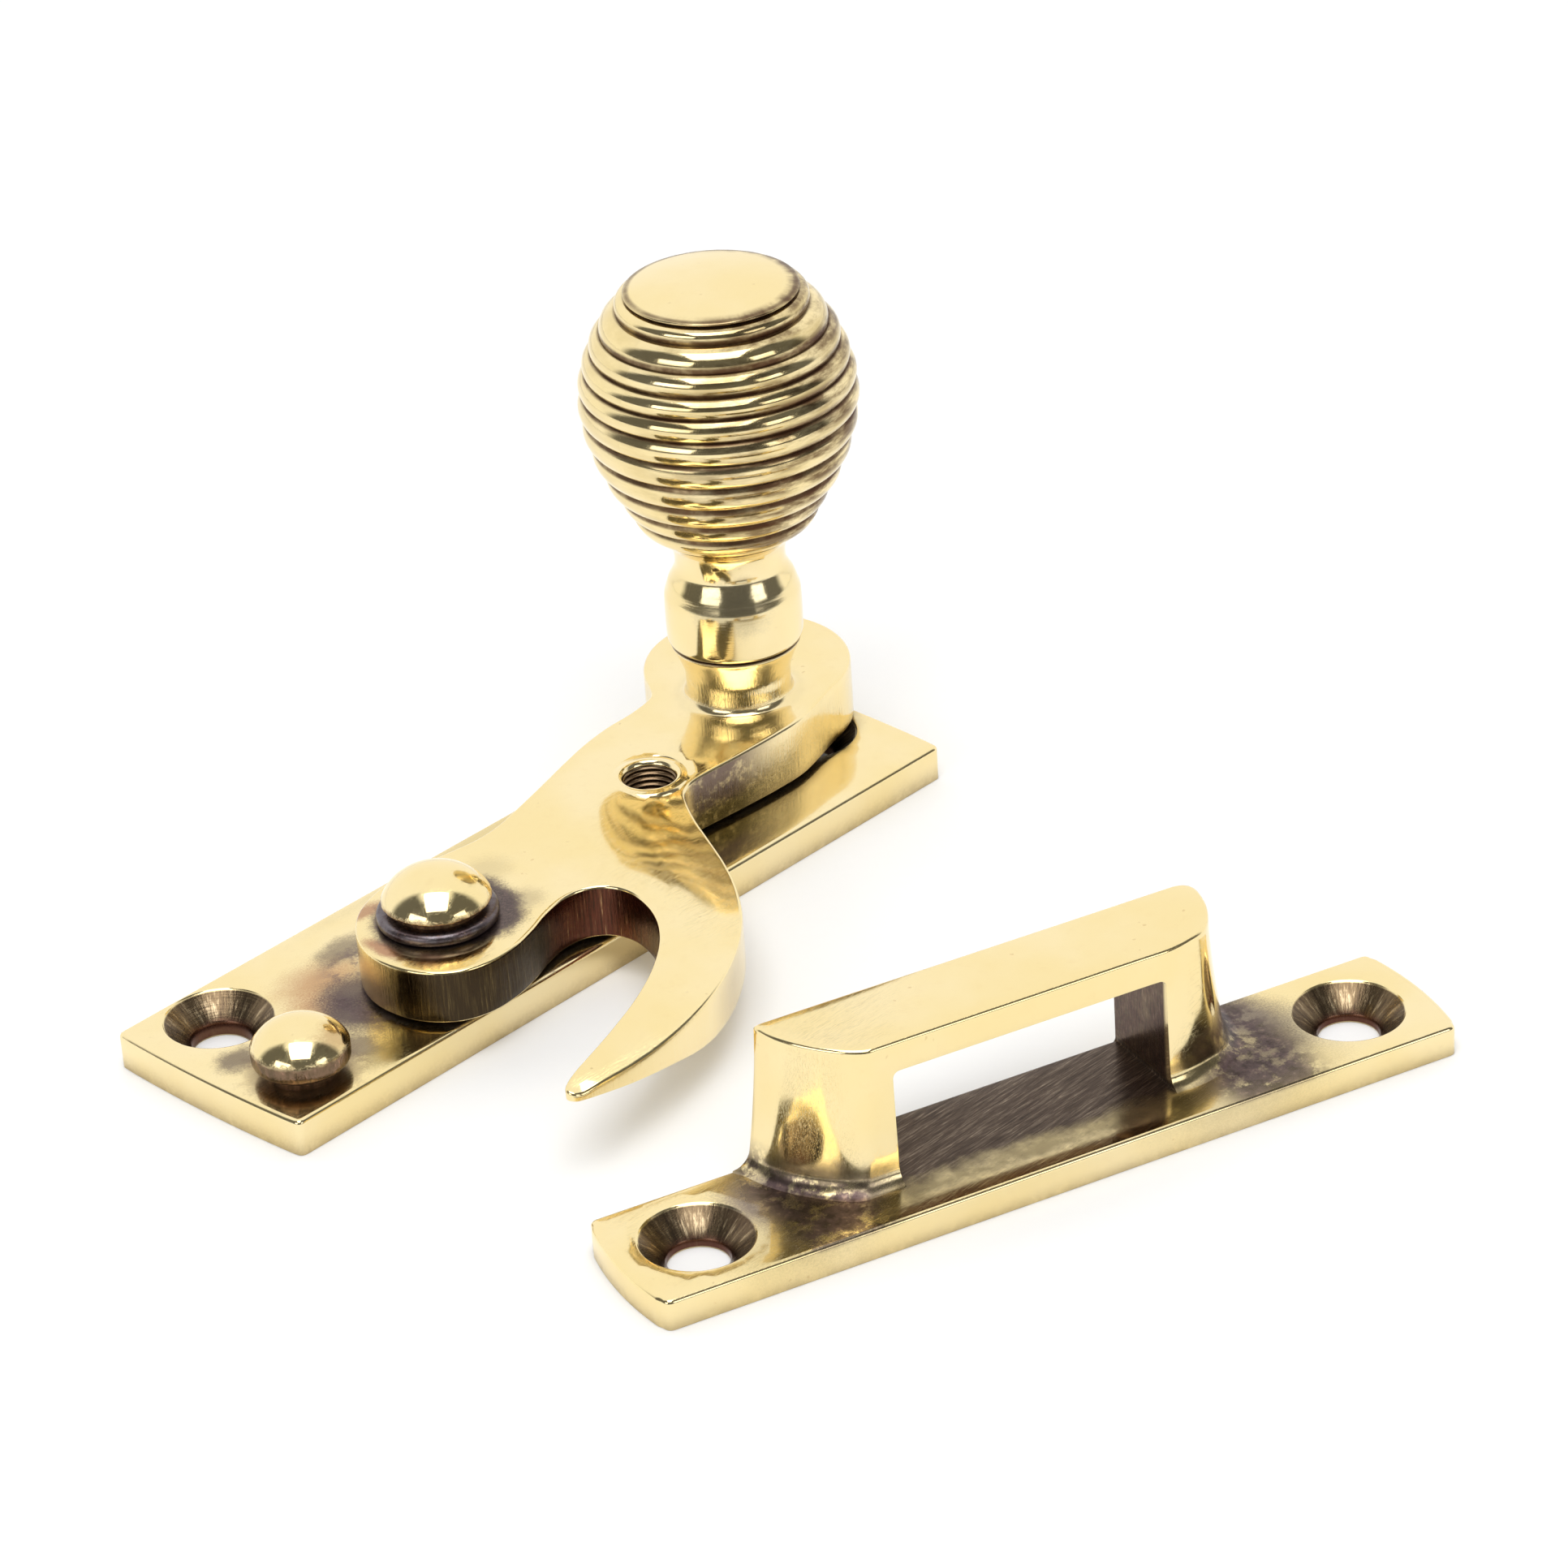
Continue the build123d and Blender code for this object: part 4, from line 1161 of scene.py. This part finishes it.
BASE_STAINS_AND_SHADOWS = [
    ((-6.6, 6.6, BASE_TOP), (3.4, 2.2, 2), 0.75, 0.5, 0.7, RUST, 0.62, 0.10),
    ((-9.6, 3.9, BASE_TOP), (1.8, 1.8, 2), 0.75, 0.5, 0.7, RUST, 0.55, 0.10),
    ((-6.4, 3.6, BASE_TOP), (2.3, 2.2, 2), 0.6, 0.6, 0.6, PURPLE_STAIN_AND_SHADOW, 0.85, 0.18),
    ((-8.4, 1.2, BASE_TOP), (2.3, 2.8, 2), 0.6, 0.6, 0.6, PURPLE_STAIN_AND_SHADOW, 0.92, 0.18),
    ((-2.3, 8.6, BASE_TOP), (2.6, 1.4, 2), 0.5, 1.2, 0.6, PURPLE_STAIN_AND_SHADOW, 0.65, 0.18),
    # the next five entries are painted shadows: purple patches on both sides of the stop stud and in
    # front of it, an olive patch between it and the lever, and a dark ring round the stud's foot
    ((-18.0, 3.35, BASE_TOP), (1.8, 1.3, 2), 0.55, 1.3, 0.8, PURPLE_STAIN_AND_SHADOW, 0.75, 0.18),
    ((-11.3, -2.4, BASE_TOP), (1.7, 1.9, 2), 0.55, 1.3, 0.8, PURPLE_STAIN_AND_SHADOW, 0.7, 0.18),
    ((-18.0, -4.2, BASE_TOP), (2.6, 1.4, 2), 0.5, 0.8, 0.7, PURPLE_STAIN_AND_SHADOW, 0.35, 0.14),
    ((-11.0, -4.9, BASE_TOP), (2.2, 1.2, 2), 0.6, 1.1, 0.6, OLIVE_STAIN_AND_SHADOW, 0.6, 0.12),
    ((*STOP_XY, BASE_TOP), (4.5, 4.5, 3), 0.16, 0.7, 1.2, (0.14, 0.075, 0.06), 0.3, 0.12),
    ((24.0, 12.6, BASE_TOP), (20, 0.9, 2), 0.6, 1.0, 0.4, OLIVE_STAIN_AND_SHADOW, 0.25, 0.1),
]


def lever_walls(m, x, y, z, wall):
    """Dark throat and eye walls and a stained arm wall; returns the height of the file marks."""
    marks = m.noise(m.combine(x * 5.5, y * 5.5, z * 0.28), detail=4.0, rough=0.7)
    broad = m.noise(m.combine(x * 2.0, y * 2.0, z * 0.5), detail=3.0, rough=0.6)
    throat = m.blob((4.0, -12.5, 5), (10.5, 10.3, 12), soft=0.10)
    throat_strength = 1.0
    dark = wall * throat * throat_strength
    dark = dark * m.step(x + (broad - 0.5) * 3.0, off=-8.0, on=-5.2)
    throat_colour = m.ramp(
        marks, (0.34, (0.035, 0.010, 0.008)), (0.50, (0.10, 0.022, 0.016)),
        (0.60, (0.13, 0.045, 0.026)), (0.70, (0.42, 0.25, 0.12)))
    eye = (m.step(m.from_axis(x, y), off=8.9, on=8.3)
           * m.step(y + (broad - 0.5) * 2.4, off=-1.4, on=-3.4))
    dark = m.max(dark, wall * eye)
    eye_side = m.step(y, off=-10.0, on=-8.4) * m.step(x, off=7.5, on=4.0)
    eye_colour = m.ramp(
        marks, (0.46, (0.022, 0.012, 0.008)), (0.61, (0.048, 0.031, 0.015)),
        (0.70, (0.14, 0.097, 0.043)), (0.78, (0.78, 0.60, 0.29)))
    m.stain(dark, m.mix(eye_side, throat_colour, eye_colour), cover=0.97, dull=0.16)

    # lilac-brown stain with an olive lower band on the -Y wall of the arm
    arm = wall * m.step(x, off=24.5, on=27.0) * m.step(y, off=0.2, on=-0.8)
    cloud = m.noise(m.combine(x * 0.8, y * 0.8, z * 0.8), detail=5.0, rough=0.65)
    colour = m.mix(m.step(z + cloud * 1.6, off=5.2, on=6.4),
                   (0.13, 0.10, 0.035), (0.15, 0.105, 0.095))
    m.tint(arm * m.step(x, off=37.0, on=30.0)
           * m.step(cloud, off=0.34, on=0.52, low=0.45, high=0.95), colour)
    m.dull(arm, 0.14)
    return marks * wall + broad * wall * 0.7


def lever_details(m):
    x, y, z = m.split(m.co)
    up = m.up()
    wall = m.step(m.math("ABSOLUTE", up), off=0.5, on=0.2)
    file_marks = lever_walls(m, x, y, z, wall)

    # soot round the washer, reaching further towards +X
    r = m.from_axis(x, y)
    grain = m.noise(m.co, scale=5.0, detail=6.0, rough=0.85)
    lumps = m.noise(m.co, scale=0.6, detail=3.0, rough=0.6)
    reach = 5.75 + m.step(x * 0.9 + y * -0.1, off=-1.0, on=4.5) * 1.45
    density = (reach - r) / 1.7 + (grain - 0.5) * 1.3 + (lumps - 0.5) * 0.7
    on_top = m.step(up, off=0.6, on=0.9) * m.step(z, off=LOCK_TOP - 1.2, on=LOCK_TOP - 0.9)
    soot = m.step(density, off=0.0, on=0.8) * on_top
    colour = m.mix(m.step(grain, off=0.42, on=0.62), (0.045, 0.032, 0.042), (0.135, 0.09, 0.09))
    m.stain(soot, colour, cover=0.95, dull=0.2)

    # dirt line under the knob
    m.stain(m.step(z, off=BOSS_TOP - 0.3, on=BOSS_TOP - 0.08), JOINT_DIRT, cover=0.92, dull=0.2)
    # inside of the threaded hole
    bore = (m.step(m.from_axis(x - LOCK_XY[0], y - LOCK_XY[1]), off=2.62, on=2.35)
            * m.step(z, off=LOCK_TOP - 0.05, on=LOCK_TOP - 0.6))
    m.stain(bore, (0.10, 0.035, 0.02), cover=0.8, dull=0.15)
    m.relief(file_marks, depth=0.035)


LEVER_STAINS = [
    ((7.0, 2.2, 8.0), (2.0, 1.7, 1.2), 0.6, 0.6, 0.6, PURPLE_STAIN_AND_SHADOW, 0.18, 0.1),
    ((5.8, -3.2, 8.0), (1.6, 1.3, 1.2), 0.6, 0.6, 0.6, PURPLE_STAIN_AND_SHADOW, 0.3, 0.12),
    ((-2.8, 5.2, 8.0), (1.6, 0.8, 1.2), 0.5, 0.8, 0.8, EYE_RED, 0.7, 0.14),
    ((-5.7, -0.1, 8.0), (0.7, 2.2, 1.2), 0.5, 0.8, 0.8, EYE_RED, 0.75, 0.14),
    ((-4.6, -3.8, 8.0), (1.0, 1.0, 1.2), 0.5, 0.8, 0.8, (0.30, 0.12, 0.08), 0.65, 0.14),
]


def knob_details(m):
    x, y, z = m.split(m.co)
    dx, dy = x - KNOB_XY[0], y - KNOB_XY[1]
    r = m.hypot(dx, dy)

    def near_grooves(drop, depth, off, on):
        masks = []
        for groove_z, groove_r in GROOVES:
            dz2 = (z - (groove_z - drop + KNOB_Z)) ** 2.0
            dr2 = (r - (groove_r - depth)) ** 2.0
            masks.append(m.step(m.math("SQRT", dz2 + dr2), off=off, on=on))
        return reduce(m.max, masks)

    grooves = near_grooves(drop=0.0, depth=0.3, off=0.42, on=0.14)
    bands = near_grooves(drop=0.25, depth=0.2, off=1.15, on=0.5)

    # olive tint, stronger on the side that faces (0.6, -0.8)
    side = (dx * 0.60 - dy * 0.80) / m.max(r, 0.5)
    side = m.step(side, off=-0.7, on=0.75)
    cloud = m.noise(m.combine(m.math("ARCTAN2", dy, dx) * 2.2, z * 0.9, 0.0),
                    detail=5.0, rough=0.65)
    beads = (m.step(z, off=KNOB_Z + 30.4, on=KNOB_Z + 29.6)
             * m.step(z, off=KNOB_Z + 11.2, on=KNOB_Z + 13.0))
    olive_side_tint = m.step(cloud, off=0.30, on=0.72) * (0.24 + side * 0.40) * beads
    m.tint(olive_side_tint, (0.46, 0.335, 0.11))
    m.dull(olive_side_tint, 0.01)

    # dark brown bands round and just below the grooves, stronger on that side, then dirt packed
    # inside the grooves
    m.stain(bands * side * m.step(cloud, off=0.35, on=0.62), (0.10, 0.045, 0.022),
            cover=0.85, dull=0.05)
    packed = m.step(m.noise(m.co, scale=0.5, detail=4.0, rough=0.6),
                    off=0.25, on=0.6, low=0.55, high=1.0)
    m.stain(grooves * packed, (0.085, 0.034, 0.018), cover=0.9, dull=0.3)
    # dirt line along the joint with the boss
    m.stain(m.step(z, off=KNOB_Z + 0.34, on=KNOB_Z + 0.1), JOINT_DIRT, cover=0.92, dull=0.2)
    turning = m.noise(m.combine(z * 7.0, r * 7.0, m.math("ARCTAN2", dy, dx) * 0.35),
                      detail=3.0, rough=0.6)
    m.relief(turning, depth=0.006)


KNOB_STAINS = [
    ((KNOB_XY[0] - 3.5, KNOB_XY[1] - 3.2, KNOB_Z + 4.6), (2.6, 2.6, 2.0), 0.5, 0.9, 0.5,
     (0.34, 0.30, 0.20), 0.5, 0.12),
]


def dome_details(rim_z, side_colour):
    """Hammered, browned skin on the sides of a dome whose crown is polished; the lighter flats in
    that skin are painted highlights.
    """
    def details(m):
        x, y, z = m.split(m.co)
        border = z + (m.noise(m.co, scale=1.3, detail=5.0, rough=0.7) - 0.5) * 0.7
        side = m.step(border, off=rim_z + 0.35, on=rim_z - 0.15)
        hammer_flats_and_glints = m.noise(m.combine(x * 2.2, y * 2.2, z * 0.9), detail=4.0, rough=0.65)
        # painted highlights: the lighter stops of this ramp brighten the hammered flats
        colour = m.ramp(hammer_flats_and_glints, (0.36, side_colour), (0.56, [v * 2.0 for v in side_colour]),
                        (0.74, [min(v * 6.0, 0.6) for v in side_colour]))
        m.stain(side, colour, cover=0.92, dull=0.14)
        m.relief(hammer_flats_and_glints * side, depth=0.09)
    return details


STUD_STAINS = [
    ((STOP_XY[0] + 1.2, STOP_XY[1] - 2.6, STOP_RIM + 0.9), (1.6, 1.2, 1.0), 0.6, 1.2, 0.8,
     (0.40, 0.20, 0.08), 0.5, 0.1),
]


def dark_brass(name, colour_a, colour_b, rough=0.34):
    m = Surface(name)
    cloud = m.noise(m.co, scale=0.7, detail=5.0, rough=0.65)
    grain = m.noise(m.co, scale=3.5, detail=4.0, rough=0.6)
    m.col = m.mix(m.step(cloud, off=0.35, on=0.65), colour_a, colour_b)
    m.tint(m.step(grain, off=0.6, on=0.75, low=0.0, high=0.5), (0.5, 0.33, 0.2))
    m.rough = rough + grain * 0.15
    m.relief(grain + cloud, depth=0.02)
    return m.finish()


def keep_details(m):
    x, y, z = m.split(m.co)
    cos, sin = math.cos(KEEP_TURN), math.sin(KEEP_TURN)
    u = (x - KEEP_C[0]) * cos + (y - KEEP_C[1]) * sin
    v = (y - KEEP_C[1]) * cos - (x - KEEP_C[0]) * sin
    for screw_u in KEEP_SCREWS:
        countersink(m, u - screw_u, v, z, KEEP_T, ringed=False)

    # purple-black patina where the ends of the loop meet the plate
    root = m.step(z, off=5.4, on=2.6) * m.step(z, off=1.9, on=2.6)
    ends = [m.step(m.math("ABSOLUTE", u - end), off=5.5, on=2.2) for end in (-18.0, 17.5)]
    patchy = m.noise(m.co, scale=0.55, detail=6.0, rough=0.7)
    patina = root * m.max(*ends) * m.step(patchy, off=0.36, on=0.52)
    colour = m.ramp(m.noise(m.co, scale=1.4, detail=4.0, rough=0.6), (0.3, (0.03, 0.018, 0.02)),
                    (0.55, (0.085, 0.055, 0.06)), (0.75, (0.25, 0.17, 0.14)))
    m.stain(patina, colour, cover=0.95, dull=0.14)

    # plate under the loop: black with diagonal scratches, olive towards -v
    under = m.step(z, off=KEEP_T + 0.6, on=KEEP_T + 0.15) * m.step(z, off=KEEP_T - 0.6,
                                                                  on=KEEP_T - 0.2)
    under = under * (m.step(u, off=OPEN_U0 - 1.2, on=OPEN_U0 - 0.2)
                     * m.step(u, off=OPEN_U1 + 1.2, on=OPEN_U1 + 0.2))
    border = v + (m.noise(m.co, scale=0.5, detail=4.0, rough=0.6) - 0.5) * 2.4
    black = under * m.step(border, off=-3.4, on=-1.4)
    olive = under * m.step(border, off=-5.4, on=-3.6)
    diagonal = m.noise(m.mapping(m.co, turn=0.95, scale=(0.45, 7.0, 1.0)),
                       detail=4.0, rough=0.72)
    m.stain(olive, (0.25, 0.195, 0.10), dull=0.08,
            cover=m.step(patchy, off=0.3, on=0.6, low=0.55, high=0.85))
    colour = m.ramp(
        diagonal, (0.32, (0.030, 0.018, 0.014)), (0.50, (0.075, 0.05, 0.038)),
        (0.62, (0.16, 0.12, 0.09)), (0.74, (0.42, 0.33, 0.24)))
    m.stain(black, colour, cover=0.97, dull=0.12)

    # inner walls of the opening
    across = m.step(u, off=OPEN_U0 - 0.5, on=OPEN_U0 - 0.1) * m.step(u, off=OPEN_U1 + 0.5,
                                                                    on=OPEN_U1 + 0.1)
    inner = across * (m.step(z, off=KEEP_T + 0.1, on=KEEP_T + 0.5)
                      * m.step(z, off=OPEN_TOP + 0.12, on=OPEN_TOP + 0.04)
                      * m.step(v, off=-1.45, on=-0.95))
    colour = m.ramp(diagonal, (0.35, (0.030, 0.012, 0.009)), (0.55, (0.075, 0.032, 0.024)),
                    (0.75, (0.26, 0.18, 0.12)))
    m.stain(inner, colour, dull=0.14,
            cover=m.step(patchy, off=0.3, on=0.6, low=0.9, high=0.98))


# as the other stain tables, but the centres are (u, v) on the top of the keep's plate
KEEP_STAINS = [
    ((-21.2, 1.4), (2.6, 3.2, 2.0), 0.6, 0.5, 0.6, KEEP_PURPLE_PALE, 0.82, 0.18),
    ((-16.8, -3.2), (4.6, 1.6, 2.0), 0.55, 0.5, 0.6, KEEP_PURPLE_PALE, 0.82, 0.18),
    ((20.4, 2.6), (2.9, 3.6, 2.0), 0.6, 0.5, 0.6, KEEP_PURPLE, 0.85, 0.18),
    ((18.6, -2.3), (4.0, 2.0, 2.0), 0.6, 0.5, 0.6, KEEP_PURPLE, 0.9, 0.18),
    ((13.8, -3.3), (3.4, 1.2, 2.0), 0.55, 0.5, 0.6, KEEP_PURPLE, 0.75, 0.18),
    ((-12.4, -3.7), (2.2, 1.2, 2.0), 0.6, 0.8, 0.6, OLIVE_STAIN_AND_SHADOW, 0.6, 0.12),
    ((17.0, -3.0), (9.0, 4.0, 2.0), 0.5, 0.6, 0.35, (0.32, 0.25, 0.12), 0.4, 0.06),
    ((-19.5, -3.2), (6.5, 3.4, 2.0), 0.5, 0.6, 0.35, (0.34, 0.265, 0.13), 0.4, 0.06),
]

# ------------------------------------------------------------------ build and paint the pieces
base = build_base()
post = build_post()
washer = build_washer()
spacer = build_spacer()
stop_stud = build_stop_stud()
knob = build_knob()
lever = build_lever()
keep_plate = build_keep_plate()
keep_loop = build_keep_loop()

paint(base, brass("aged_brass_base", rough=0.075, stains_and_shadows=BASE_STAINS_AND_SHADOWS, top_only=True,
                  extra=base_details))
paint(lever, brass("aged_brass_lever", rough=0.045, stains_and_shadows=LEVER_STAINS, scratch_dir=0.3,
                   wave=0.03, top_only=True, lean="tilt", extra=lever_details))
paint(knob, brass("aged_brass_knob", rough=0.055, stains_and_shadows=KNOB_STAINS, scratch=0.5,
                  tarnish=0.35, pits=0.6, extra=knob_details))
paint(post, brass("aged_brass_post", rough=0.05, scratch=0.8, tarnish=0.6,
                  extra=dome_details(HEAD_Z - 0.05, side_colour=(0.16, 0.09, 0.045))))
paint(stop_stud, brass("aged_brass_stud", rough=0.05, stains_and_shadows=STUD_STAINS, scratch=0.8,
                       tarnish=0.6,
                       extra=dome_details(STOP_RIM - 0.1, side_colour=(0.075, 0.042, 0.03))))
paint(washer, dark_brass("patinated_washer", (0.175, 0.155, 0.165), (0.10, 0.07, 0.072),
                         rough=0.22))
paint(spacer, dark_brass("dark_collar", (0.10, 0.055, 0.04), (0.05, 0.03, 0.025)))
paint(frame["nodes"]["lock_grub_screw"],
      dark_brass("blackened_screw", (0.05, 0.045, 0.045), (0.09, 0.07, 0.06), rough=0.4))
paint(frame["nodes"]["knob_stud"], brass("turned_stud", rough=0.25))
keep_stains = [(keep_place((*centre, KEEP_T)), *rest) for centre, *rest in KEEP_STAINS]
keep_brass = brass("aged_brass_keep", rough=0.07, stains_and_shadows=keep_stains, scratch_dir=KEEP_TURN,
                   extra=keep_details)
paint(keep_plate, keep_brass)
paint(keep_loop, keep_brass)

# ------------------------------------------------------------------ floor, lights, world, camera
FLOOR_SIZE, FLOOR_CELLS = 3.6, 16
FLOOR_GLOW = 0.06
ROOM = 0.15                       # brightness of the dark room behind the camera
BACKDROP = 0.93                   # added brightness of the backdrop and ceiling
AWAY = Vector((0.7065, 0.7077, 0)).normalized()        # away from the camera along the floor
RIGHT = Vector((AWAY.y, -AWAY.x, 0))                   # to the camera's right

bounds_lo, bounds_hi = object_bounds()
CENTRE = (bounds_lo + bounds_hi) / 2


def build_floor():
    n = FLOOR_CELLS
    verts, faces = [], []
    for j in range(n + 1):
        for i in range(n + 1):
            verts.append((CENTRE.x + (i / n - 0.5) * FLOOR_SIZE,
                          CENTRE.y + (j / n - 0.5) * FLOOR_SIZE, -0.00003))
    for j in range(n):
        for i in range(n):
            k = j * (n + 1) + i
            faces.append((k, k + 1, k + n + 2, k + n + 1))
    mesh = bpy.data.meshes.new("floor")
    mesh.from_pydata(verts, [], faces)
    mesh.update()
    floor = bpy.data.objects.new("floor", mesh)
    bpy.context.scene.collection.objects.link(floor)

    m = Surface("pale_paper")
    grain = m.noise(m.co, scale=0.9, detail=5.0, rough=0.6)
    m.col = m.mix(grain, (0.90, 0.90, 0.90), (0.92, 0.92, 0.92))
    m.rough = 0.8
    m.normal = m.bump(grain, depth=0.01, strength=0.3)
    paint(floor, m.finish(metal=0.0, **{
        "Emission Color": (1.0, 1.0, 1.0), "Emission Strength": FLOOR_GLOW,
        "Specular IOR Level": 0.1}))


def pose(x_axis, y_axis, z_axis, location):
    matrix = Matrix((x_axis, y_axis, z_axis)).transposed().to_4x4()
    matrix.translation = location
    return matrix


def soft_box(name, azimuth, elevation, width, height, radiance, reach=1.1):
    """Area light facing the object; azimuth is 0 away from the camera, positive to its right."""
    az, el = math.radians(azimuth), math.radians(elevation)
    level = (AWAY * math.cos(az) + RIGHT * math.sin(az)) * math.cos(el)
    towards = level + Vector((0, 0, math.sin(el)))
    light = bpy.data.lights.new(name, "AREA")
    light.shape = "RECTANGLE"
    light.size = width
    light.size_y = height
    light.energy = radiance * math.pi * width * height
    ob = bpy.data.objects.new(name, light)
    bpy.context.scene.collection.objects.link(ob)
    z_axis = towards.normalized()                      # lights shine along -Z
    x_axis = Vector((0, 0, 1)).cross(z_axis).normalized()
    target = Vector((CENTRE.x, CENTRE.y, 0.0)) + Vector((0, 0, 0.02))
    ob.matrix_world = pose(x_axis, z_axis.cross(x_axis), z_axis, target + towards * reach)


def build_world():
    """White backdrop away from the camera and white ceiling, with a dark room behind."""
    world = bpy.data.worlds.new("studio")
    bpy.context.scene.world = world
    world.use_nodes = True
    w = Nodes(world.node_tree)
    ray = w.out("ShaderNodeTexCoord", "Generated")
    sideways = w.vector("DOT_PRODUCT", ray, tuple(RIGHT))
    ahead = w.vector("DOT_PRODUCT", ray, tuple(AWAY))
    degrees = 180 / math.pi
    azimuth = w.math("ABSOLUTE", w.math("ARCTAN2", sideways, ahead) * degrees)
    elevation = w.math("ARCSINE", w.split(ray)[2]) * degrees
    lit = w.max(w.step(azimuth, off=90.0, on=74.0), w.step(elevation, off=58.0, on=70.0))
    background = w.new("ShaderNodeBackground", {
        "Color": (1.0, 0.995, 0.985), "Strength": lit * BACKDROP + ROOM})
    w.new("ShaderNodeOutputWorld", {0: background.outputs[0]})


def build_camera():
    data = bpy.data.cameras.new("camera")
    camera = bpy.data.objects.new("camera", data)
    bpy.context.scene.collection.objects.link(camera)
    data.sensor_fit = "HORIZONTAL"
    data.sensor_width = 36.0
    data.lens = 131.04
    data.clip_start = 0.01
    data.clip_end = 10.0
    right = Vector((0.6824, -0.7286, -0.0588)).normalized()
    down = Vector((-0.3970, -0.3019, -0.8668))
    forward = right.cross(down).normalized()
    up = right.cross(forward).normalized()
    camera.matrix_world = pose(right, up, -forward, (-0.24308, -0.28138, 0.22890))
    bpy.context.scene.camera = camera


build_floor()
soft_box("soft_box_top", azimuth=180, elevation=69, width=0.80, height=0.86, radiance=3.0)
soft_box("soft_box_left", azimuth=-138, elevation=21, width=0.66, height=0.46, radiance=2.2)
soft_box("soft_box_right", azimuth=130, elevation=20, width=0.46, height=0.42, radiance=1.9)
build_world()
build_camera()

bpy.context.scene.view_settings.view_transform = "Standard"
bpy.context.scene.view_settings.exposure = 0.0
